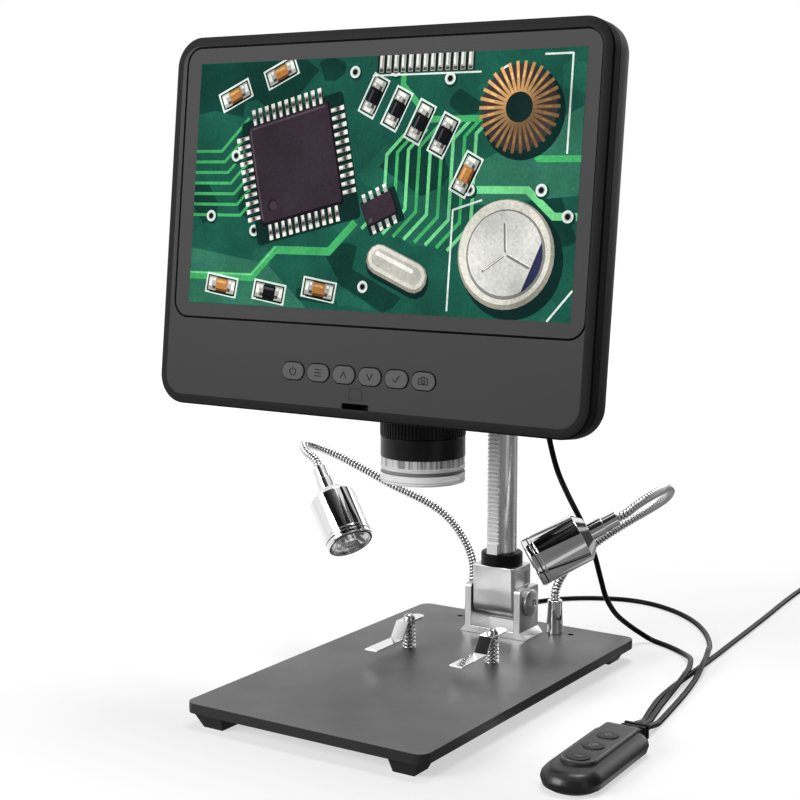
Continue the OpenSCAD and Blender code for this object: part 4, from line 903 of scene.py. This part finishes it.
def paint_board():
    """A made-up board under magnification: a square chip, a round can, a coil, and rows of small parts."""
    art = Painter(PICTURE_W, PICTURE_H, BOARD)
    rng = np.random.default_rng(5)
    for _ in range(26):
        x, y, r = rng.uniform(-95, 95), rng.uniform(-53, 53), rng.uniform(6, 20)
        a = np.sort(rng.uniform(0, TAU, 7))
        patch = np.column_stack([x + r * np.cos(a), y + 0.7 * r * np.sin(a)])
        art.add(patch, BOARD_DARK if rng.random() < 0.5 else BOARD_MID)
    art.add([(-94, 52), (-40, 52), (-62, 36), (-94, 30)], BOARD_DARK)
    art.add([(94, -4), (94, 30), (40, 4), (50, -8)], BOARD_LIGHT)
    art.add([(-94, -52), (-30, -52), (-52, -34), (-94, -28)], BOARD_LIGHT)

    # tracks
    for k in range(7):
        y = 44 - 4.6 * k
        art.line([(-95, y - 30), (-80 + 2 * k, y - 30), (-66 + 2 * k, y - 16)], 1.3, TRACK)
    for k in range(9):
        x = 2 + 5.2 * k
        route = [(x - 6, -18 - k), (x + 4, -8 - k), (x + 4, 12 + k), (x + 12, 20 + k)]
        art.line(route, 1.5, TRACK if k % 2 else TRACK_LIGHT)
    art.line([(-95, -40), (-60, -40), (-48, -28), (-20, -28), (-8, -16)], 3.4, TRACK)
    art.line([(-95, -38.9), (-60, -38.9), (-48, -26.9)], 0.7, TRACK_LIGHT)
    art.line([(12, 53), (12, 40), (26, 26), (60, 26), (76, 10), (96, 10)], 2.6, TRACK)
    art.line([(96, -12), (84, -12), (72, -2), (46, -2)], 3.0, TRACK_LIGHT)

    # plated holes
    for x, y in VIAS:
        art.disc(x + 0.6, y - 0.6, 3.0, BOARD_DARK)
        for r, tone in ((2.5, INK), (2.5 * 0.62, (150, 158, 150)), (2.5 * 0.46, BLACK)):
            art.disc(x, y, r, tone)

    # small chip beside the coil
    art.pose(4, -10, 24)
    art.box(1.0, -1.4, 18, 15, SHADE, 1)
    for s in (-1, 1):
        for x in (-5.4, -1.8, 1.8, 5.4):
            art.boxes((x, s * 6.6, 1.7, 4.4, METAL), (x, s * 8.0, 1.7, 1.2, METAL_LIGHT))
    art.boxes((0, 0, 16, 10.4, CHIP_EDGE, 0.6), (-0.3, 0.4, 15, 9.4, CHIP, 0.6))
    art.disc(-5.6, -2.8, 0.9, CHIP_LIGHT)

    # square chip with pins on all four sides
    half, pins, pitch = 21.0, 11, 3.5
    art.pose(-40, 8, 14)
    turn = art.turn
    art.box(2.0, -2.6, 2 * half + 12, 2 * half + 12, CHIP_SHADE, 2)
    for side in range(4):
        art.turn = turn + side * QUARTER
        for k in range(pins):
            x = (k - (pins - 1) / 2) * pitch
            art.boxes(
                (x + 0.9, half + 3.4, 1.0, 7.4, BLACK), (x, half + 3.6, 1.7, 7.6, METAL),
                (x - 0.2, half + 1.6, 1.1, 2.2, METAL_LIGHT), (x, half + 4.3, 1.5, 1.5, METAL_DARK),
                (x, half + 6.6, 1.9, 1.7, METAL_LIGHT),
            )
    art.turn = turn
    art.boxes(
        (0, 0, 2 * half + 1.6, 2 * half + 1.6, CHIP_EDGE, 1), (-0.3, 0.5, 2 * half, 2 * half, CHIP, 1.2),
        (-0.3, half - 0.6, 2 * half - 3, 0.8, CHIP_LIGHT), (-half + 0.4, 0.4, 0.8, 2 * half - 3, CHIP_LIGHT),
    )
    art.disc(-half + 6.5, -half + 7, 2.6, (34, 27, 33))
    art.disc(-half + 6.8, -half + 6.7, 2.0, (66, 56, 62))
    art.pose()

    # round can seen from above
    x, y = 64, -27
    for right, up, r, tone in (
        (3, -3, 22.5, SHADE), (0, 0, 21.5, CREAM_DARK), (-0.6, 0.8, 20.4, CREAM), (0, 0, 17.6, (128, 128, 124)),
        (-0.3, 0.4, 16.6, (206, 206, 200)),
    ):
        art.disc(x + right, y + up, r, tone, 40)
    edge = np.linspace(math.radians(-62), math.radians(18), 14)
    art.add(np.column_stack([x + 16.4 * np.cos(edge), y + 16.4 * np.sin(edge)]), (44, 48, 78))
    for a in (95, 215, 335):
        art.ray(x, y, math.radians(a), 1.0, 12, 1.0, (120, 120, 116))
        art.ray(x + 0.5, y + 0.5, math.radians(a), 1.0, 12, 0.4, METAL_LIGHT)

    # wound coil on a ferrite ring
    x, y = 66, 30
    art.disc(x + 2, y - 2.4, 18.2, SHADE, 40)
    art.disc(x, y, 16.8, (58, 50, 48), 40)
    art.disc(x, y, 6.6, (14, 40, 36), 30)
    for k in range(30):
        a = TAU * k / 30
        lit = 0.5 + 0.5 * math.cos(a - math.radians(125))
        tone = tuple(int(c * (0.5 + 0.5 * lit)) for c in TAN_LIGHT)
        art.ray(x, y, a, 6.2, 17.6, 1.35, tone)
        art.ray(x, y, a, 11.5, 14, 0.6, tuple(min(255, int(c * 1.25)) for c in tone))

    # oval metal crystal case
    art.pose(14, -34, -22)
    art.boxes(
        (1.2, -1.6, 32, 13, SHADE, 6), (0, 0, 31, 12.4, CREAM_DARK, 6), (-0.3, 0.5, 29.4, 10.6, CREAM, 5.2),
        (-0.3, 0.5, 25.8, 7.4, (186, 184, 174), 3.6), (-2, 1.9, 20, 1.8, METAL_LIGHT, 0.8),
    )

    for x, y, degrees, body, top in SMALL_PARTS:
        art.pose(x, y, degrees)
        art.boxes((0, 0, 17.4, 8.8, INK), (0, 0, 15.8, 7.2, BOARD_DARK), (0.5, -0.8, 13.6, 6.2, PART_SHADE))
        for s in (-1, 1):
            art.boxes(
                (s * 5.1, 0, 4.2, 6.0, METAL), (s * 6.2, 0.5, 1.6, 3.6, METAL_LIGHT),
                (s * 4.0, -1.6, 1.8, 1.4, METAL_DARK), (s * 4.4, 1.8, 1.2, 1.2, METAL_LIGHT),
            )
        dim = tuple(int(0.55 * c) for c in body)
        art.boxes((0, 0, 6.4, 5.4, body), (-0.3, 1.4, 5.0, 1.0, top), (0.2, -2.2, 6.0, 0.9, dim))
    art.pose()

    # row of plated contacts along the top edge, and printed lines
    art.box(22, 49.5, 46, 9, (14, 30, 28))
    for k in range(13):
        x = 1 + 3.5 * k
        art.boxes((x, 49.5, 2.2, 8.4, METAL), (x - 0.4, 50.5, 0.8, 6.0, METAL_LIGHT), (x, 46.2, 1.8, 1.2, METAL_DARK))
    art.line([(-3, 44.2), (48, 44.2)], 0.7, INK)
    for route in PRINTED:
        art.line(route, 0.8, INK)
    return art.sheet(PICTURE_X, PICTURE_Z)


SOFT_SCALE, SPECK_SCALE = 46, 900


def picture_light():
    """The picture's own light: the colour of each spot with the softness and noise of a live image."""
    material, tree, bsdf = new_material("picture light")
    at = on_object(tree)
    soft = scaled(tree, noise(tree, at, SOFT_SCALE, 2), 1.3, 0.45)
    speck = scaled(tree, noise(tree, at, SPECK_SCALE, 2), 0.7, 0.65)
    tint = node(tree, "VertexColor", layer_name="tint").outputs["Color"]
    lit = node(tree, "VectorMath", {0: tint, "Scale": maths(tree, "MULTIPLY", soft, speck)}, operation="SCALE")
    feed(tree, bsdf, {
        "Emission Color": lit.outputs["Vector"], "Emission Strength": 1.0, "Base Color": (0.004, 0.004, 0.005, 1),
        "Roughness": 0.4, "Specular IOR Level": 0.0,
    })
    return material


piece("picture", "head", paint_board(), picture_light(), SCREEN, slot="panel")

# ---- monitor: symbols on the buttons and the card mark
SYMBOL_R, CARD_MARK_R, CARD_MARK_DROP = 0.24, 0.14, 86.4


def bow(x, y, r, start, end, steps=20):
    """Points along a part of a circle."""
    a = np.radians(np.linspace(start, end, steps))
    return np.column_stack([x + r * np.cos(a), y + r * np.sin(a)]).tolist()


SYMBOLS = {
    "power": [bow(0, -0.2, 1.5, 120, 420), [(0, 0.5), (0, 1.9)]],
    "menu": [[(-1.6, y), (1.6, y)] for y in (-1.3, 0.0, 1.3)],
    "up": [[(-1.4, -1.2), (0, 1.3), (1.4, -1.2)]],
    "down": [[(-1.4, 1.2), (0, -1.3), (1.4, 1.2)]],
    "confirm": [[(-1.7, -0.1), (-0.5, -1.3), (1.7, 1.4)]],
    "camera": [
        [
            (-2.1, -1.3), (2.1, -1.3), (2.1, 1.1), (0.9, 1.1), (0.5, 1.7), (-0.5, 1.7), (-0.9, 1.1), (-2.1, 1.1),
            (-2.1, -1.3),
        ],
        bow(0, -0.2, 0.75, 0, 360),
    ],
}
CARD_MARK = [[(-3.2, -2.3), (-3.2, 2.3), (2.0, 2.3), (3.2, 1.1), (3.2, -2.3), (-3.2, -2.3)]]


def line_shape(lines, at, z, radius):
    """Fine raised lines half sunk in a surface at height z."""
    shape = Shape()
    for points in lines:
        for a, b in zip(points[:-1], points[1:]):
            a, b = np.array([*a, 0.0]) + (*at, z), np.array([*b, 0.0]) + (*at, z)
            sweep(shape, [a, (a + b) / 2, b], radius, 6)
    return shape


for i, name in enumerate(BUTTON_NAMES):
    raised = line_shape(SYMBOLS[name], (button_x(i), -BUTTON_DROP), BUTTON_PROUD, SYMBOL_R)
    piece(f"symbol_{name}", f"key_{name}", raised, mark_ink, SCREEN, slot="button_plastic")
raised = line_shape(CARD_MARK, (SLOT_X, -CARD_MARK_DROP), 0, CARD_MARK_R)
piece("card_mark", "head", raised, bezel_plastic, SCREEN, slot="bezel_plastic")

# ---- light ring
RING_R, RING_WALL, RING_LOW, RING_HIGH = 18.7, 2.2, 86.1, 97.3
CLEAR, GROOVE, FROST = range(3)
RING_ROWS = [  # inset from the outside, height, and the material from there to the next row
    (RING_WALL, RING_LOW + 0.5, CLEAR), (RING_WALL - 0.5, RING_LOW, CLEAR), (0.5, RING_LOW, CLEAR),
    (0.15, RING_LOW + 0.15, CLEAR), (0, RING_LOW + 0.5, CLEAR), (0, 87.5, GROOVE), (0.08, 87.55, GROOVE),
    (0.08, 87.7, CLEAR), (0, 87.75, CLEAR), (0, 90.4, CLEAR), (0.1, 90.5, GROOVE), (0.7, 90.5, GROOVE),
    (0.7, 92.1, GROOVE), (0.1, 92.1, CLEAR), (0, 92.2, CLEAR), (0, 93.6, CLEAR), (0.2, 93.8, FROST),
    (0.2, RING_HIGH, FROST), (RING_WALL, RING_HIGH, FROST), (RING_WALL, 93.8, CLEAR),
    (RING_WALL, RING_LOW + 0.5, CLEAR),
]
ring_shape = Shape().lathe([(RING_R - inset, z) for inset, z, _ in RING_ROWS], 128, [row[2] for row in RING_ROWS])
piece(
    "light_ring_shell", "head", ring_shape, [ring_clear, groove_grey, frosted_plastic], LENS, sharp=30,
    slot="clear_plastic", replaces=["light_ring"], weighted=True,
)

# ---- goosenecks and lamps
GOOSENECK_R, GOOSENECK_GROOVE, GOOSENECK_PITCH, GOOSENECK_STUB = 2.2, 1.65, 1.6, 5
SOCKET_X, SOCKET_Y, SOCKET_H = 23.0, 81.5, 16.5
GOOSENECK_ROUTE = {
    "left": [
        (-23.3, 82.6, 23), (-24.6, 84.2, 28), (-27.3, 85.1, 34), (-31, 84, 41), (-35.5, 82.2, 47.6), (-41, 79.6, 53.3),
        (-48.1, 76.9, 57.8), (-55.2, 74.1, 61.3), (-62.5, 71.2, 64.7), (-71, 68.7, 69), (-80, 66, 73.5),
        (-90, 62.5, 78.5), (-97.5, 57.5, 82.5), (-100.8, 50.5, 85.3), (-98.5, 43.5, 85.9), (-92.5, 38.5, 83.5),
    ],
    "right": [
        (23.2, 82.8, 23), (24.5, 87.8, 29), (27, 96.4, 34.5), (32.8, 106.4, 41.5), (43.2, 114.6, 50),
        (55, 117.6, 58.2), (64.7, 113.5, 65), (71.5, 104.5, 71), (74.6, 93, 74.6), (75.5, 81.5, 75),
        (73.5, 72, 73), (70.5, 66, 70),
    ],
}
BEND_BEFORE, BEND_AFTER, BEND_LENGTH = 15.0, 7.0, 33.0
RIB = [GOOSENECK_GROOVE, GOOSENECK_R - 0.22, GOOSENECK_R - 0.03, GOOSENECK_R, GOOSENECK_R - 0.03, GOOSENECK_R - 0.22]
# the groove ring of each rib takes the darker painted shade
RIB_MARKS = [1, 0, 0, 0, 0, 0]
RIB_STEPS = len(RIB)


def gooseneck(side):
    """A ribbed steel tube in two pieces; the last part, next to the lamp, is a piece of its own."""
    sign = -1 if side == "left" else 1
    aim = unit(LAMP_AIM[side])
    foot = np.array([sign * SOCKET_X, SOCKET_Y, SOCKET_H])
    end = LAMP_FACE[side] - LAMP_LENGTH * aim
    route = [foot, foot + (0, 0, 3), *GOOSENECK_ROUTE[side], end - GOOSENECK_STUB * aim, end]
    path = smooth_path(route, GOOSENECK_PITCH / RIB_STEPS)
    split = len(path) - 1 - RIB_STEPS * round(BEND_LENGTH / GOOSENECK_PITCH)

    def tube(a, b, start):
        radius, marks = ([row[i % RIB_STEPS] for i in range(a, b)] for row in (RIB, RIB_MARKS))
        return sweep(Shape(), path[a:b], radius, 14, marks, start)

    look = {"sharp": 70, "slot": "satin_steel"}
    steel = [gooseneck_steel, gooseneck_groove_shade]
    lower, upper = tube(0, split + 1, (0.3, 0.2, 0.9)), tube(split, len(path), (0.9, 0.3, 0.2))
    piece(f"gooseneck_{side}_lower", "base", lower, steel, replaces=[f"gooseneck_{side}"], **look)
    bent = piece(f"gooseneck_{side}_upper", None, upper, steel, **look)
    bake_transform(bent)


LAMP_R, LAMP_BORE_R, LAMP_BORE_L, LENS_IN, LENS_T, LED_R = 11.5, 9.8, 9.0, 0.8, 2.0, 3.5
LENS_REAR = LENS_IN + LENS_T
OPTIC_ROWS = [
    (0.01, LENS_IN + 0.5), (2.5, LENS_IN + 0.3), (3.4, LENS_IN), (LAMP_BORE_R - 1.2, LENS_IN),
    (LAMP_BORE_R - 0.6, LENS_IN + 0.25), (LAMP_BORE_R - 0.05, LENS_IN + 0.3), (LAMP_BORE_R - 0.05, LENS_REAR),
    (0.01, LENS_REAR),
]
FACETS, FACET_DEPTH = 18, 0.35
CONE_ROWS = [
    (LAMP_BORE_R - 0.1, LENS_REAR + 0.3), (8.0, 4.6, FACET_DEPTH), (6.3, 6.2, FACET_DEPTH), (4.9, 7.4, FACET_DEPTH),
    (LED_R + 0.1, 8.6), (LED_R + 0.1, LAMP_BORE_L - 0.1), (LAMP_BORE_R - 0.1, LAMP_BORE_L - 0.1),
    (LAMP_BORE_R - 0.1, LENS_REAR + 0.3),
]
LED_ROWS = [(4.4, 0.3, 8.8), (4.4, 0.3, 7.6), (3.6, 0.5, 7.2), (2.2, 0.8, 7.0)]
BAND_Z = 2.65
BAND_ROWS = [
    (LAMP_R - 0.28, BAND_Z - 0.2), (LAMP_R - 0.1, BAND_Z - 0.12), (LAMP_R - 0.1, BAND_Z + 0.12),
    (LAMP_R - 0.28, BAND_Z + 0.2), (LAMP_R - 0.4, BAND_Z), (LAMP_R - 0.28, BAND_Z - 0.2),
]
RIM_ROWS = [
    (LAMP_BORE_R + 0.1, 0.3), (LAMP_BORE_R + 0.15, -0.05), (LAMP_R - 0.75, -0.05), (LAMP_R - 0.7, 0.3),
    (LAMP_BORE_R + 0.1, 0.3),
]


def lamp_details(side):
    """The optic in a lamp's face: a clear front, a faceted bright cone behind it, and the emitter; and its seals."""
    place, body = lamp_place(side), f"lamp_{side}"
    front, cone = Shape().lathe(OPTIC_ROWS, 72), Shape().lathe(CONE_ROWS, 2 * FACETS, waves=FACETS)
    led = Shape().loft([level(rounded(w, w, corner), z) for w, corner, z in LED_ROWS], caps=(True, True))
    seals = Shape().lathe(BAND_ROWS, 72).lathe(RIM_ROWS, 72)
    piece(
        f"lamp_optic_{side}", body, front, clear_plastic, place, slot="lamp_lens", replaces=[f"lamp_lens_{side}"],
        weighted=True,
    )
    piece(f"lamp_cone_{side}", body, cone, chrome, place, sharp=12, slot="lamp_chrome")
    piece(f"lamp_emitter_{side}", body, led, led_yellow, place, slot="lamp_lens")
    piece(f"lamp_seals_{side}", body, seals, rubber, place, slot="rubber")


for side in SIDES:
    gooseneck(side)
    lamp_details(side)

# ---- clip springs
CLIP_X, CLIP_Y, CLIP_TOP, CLIP_T, CLIP_TRAVEL = 22.3, 22.0, 14.1, 0.8, 6.0
SPRING_R, SPRING_WIRE, SPRING_TURNS, SPRING_STEPS = 3.2, 0.8, 8, 28
SPRING_PLAY = 0.02


def spring(side):
    """A round-wire spring with closed ends, on its own body."""
    x = CLIP_X if side == "right" else -CLIP_X
    steps = SPRING_TURNS * SPRING_STEPS
    low, high = SPRING_WIRE / 2 + SPRING_PLAY, CLIP_TOP - CLIP_T - SPRING_WIRE / 2 - SPRING_PLAY
    closed = SPRING_WIRE * 0.97
    r = SPRING_R - SPRING_WIRE / 2
    path = []
    for i in range(steps + 1):
        a = TAU * i / SPRING_STEPS
        rise = min(1, max(0, (i - SPRING_STEPS) / (steps - 2 * SPRING_STEPS)))
        first, last = closed * min(1, i / SPRING_STEPS), closed * min(1, (steps - i) / SPRING_STEPS)
        z = low + first + (high - low - 2 * closed) * rise - last + closed
        path.append((x + r * math.cos(a), CLIP_Y + r * math.sin(a), z))
    wire = sweep(Shape(), path, SPRING_WIRE / 2, 10)
    look = {"sharp": 60, "slot": "spring_steel", "replaces": [f"clip_spring_{side}"]}
    obj = piece(f"spring_wire_{side}", f"spring_{side}", wire, spring_steel, **look)
    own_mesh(obj)


for side in SIDES:
    spring(side)

# ---- remote details
REMOTE_H, REMOTE_PITCH, KEY_PROUD = 10.2, 13.8, 0.4
PANEL_W, PANEL_FRONT, PANEL_REAR = 15.6, -20.5, 28.5
PANEL_LINE_R, PANEL_LINE_Z, REMOTE_SYMBOL_R = 0.26, REMOTE_H - 0.12, 0.3
REMOTE_SYMBOLS = {
    "top": (1, [[(-1.7, 0), (1.7, 0)], [(0, -1.7), (0, 1.7)]]),
    "middle": (0, [bow(0, 0, 1.6, 0, 360), bow(0, 0, 0.5, 0, 360, 10)]),
    "bottom": (-1, [[(-1.8, 0), (1.8, 0)]]),
}


def panel_highlight_line():
    """A light grey line round the raised panel of the remote: a painted highlight along its edge."""
    half, r = PANEL_W / 2 - 0.9, PANEL_W / 2 - 1.4
    points = [(half, y) for y in np.linspace(PANEL_REAR - 1.2, PANEL_FRONT + r + 1, 24)]
    for a in np.radians(np.linspace(0, -180, 25)[1:-1]):
        x = r * math.cos(a)
        out = math.copysign(0.5, x) if abs(x) > 0.3 else 0.0
        points.append((x + out, PANEL_FRONT + PANEL_W / 2 - 0.1 + r * math.sin(a)))
    points += [(-half, y) for y in np.linspace(PANEL_FRONT + r + 1, PANEL_REAR - 1.2, 24)]
    points += [(x, PANEL_REAR - 0.5) for x in np.linspace(-half + 0.7, half - 0.7, 12)]
    return sweep(Shape(), [(x, y, PANEL_LINE_Z) for x, y in [*points, points[0]]], PANEL_LINE_R, 6)


piece("remote_panel_highlight", "base", panel_highlight_line(), remote_edge_highlight, REMOTE, slot="remote_plastic", sharp=60)
for name, (i, lines) in REMOTE_SYMBOLS.items():
    raised = line_shape(lines, (0, i * REMOTE_PITCH), REMOTE_H + KEY_PROUD, REMOTE_SYMBOL_R)
    piece(f"remote_symbol_{name}", f"remote_key_{name}", raised, remote_symbol, REMOTE, slot="remote_plastic")
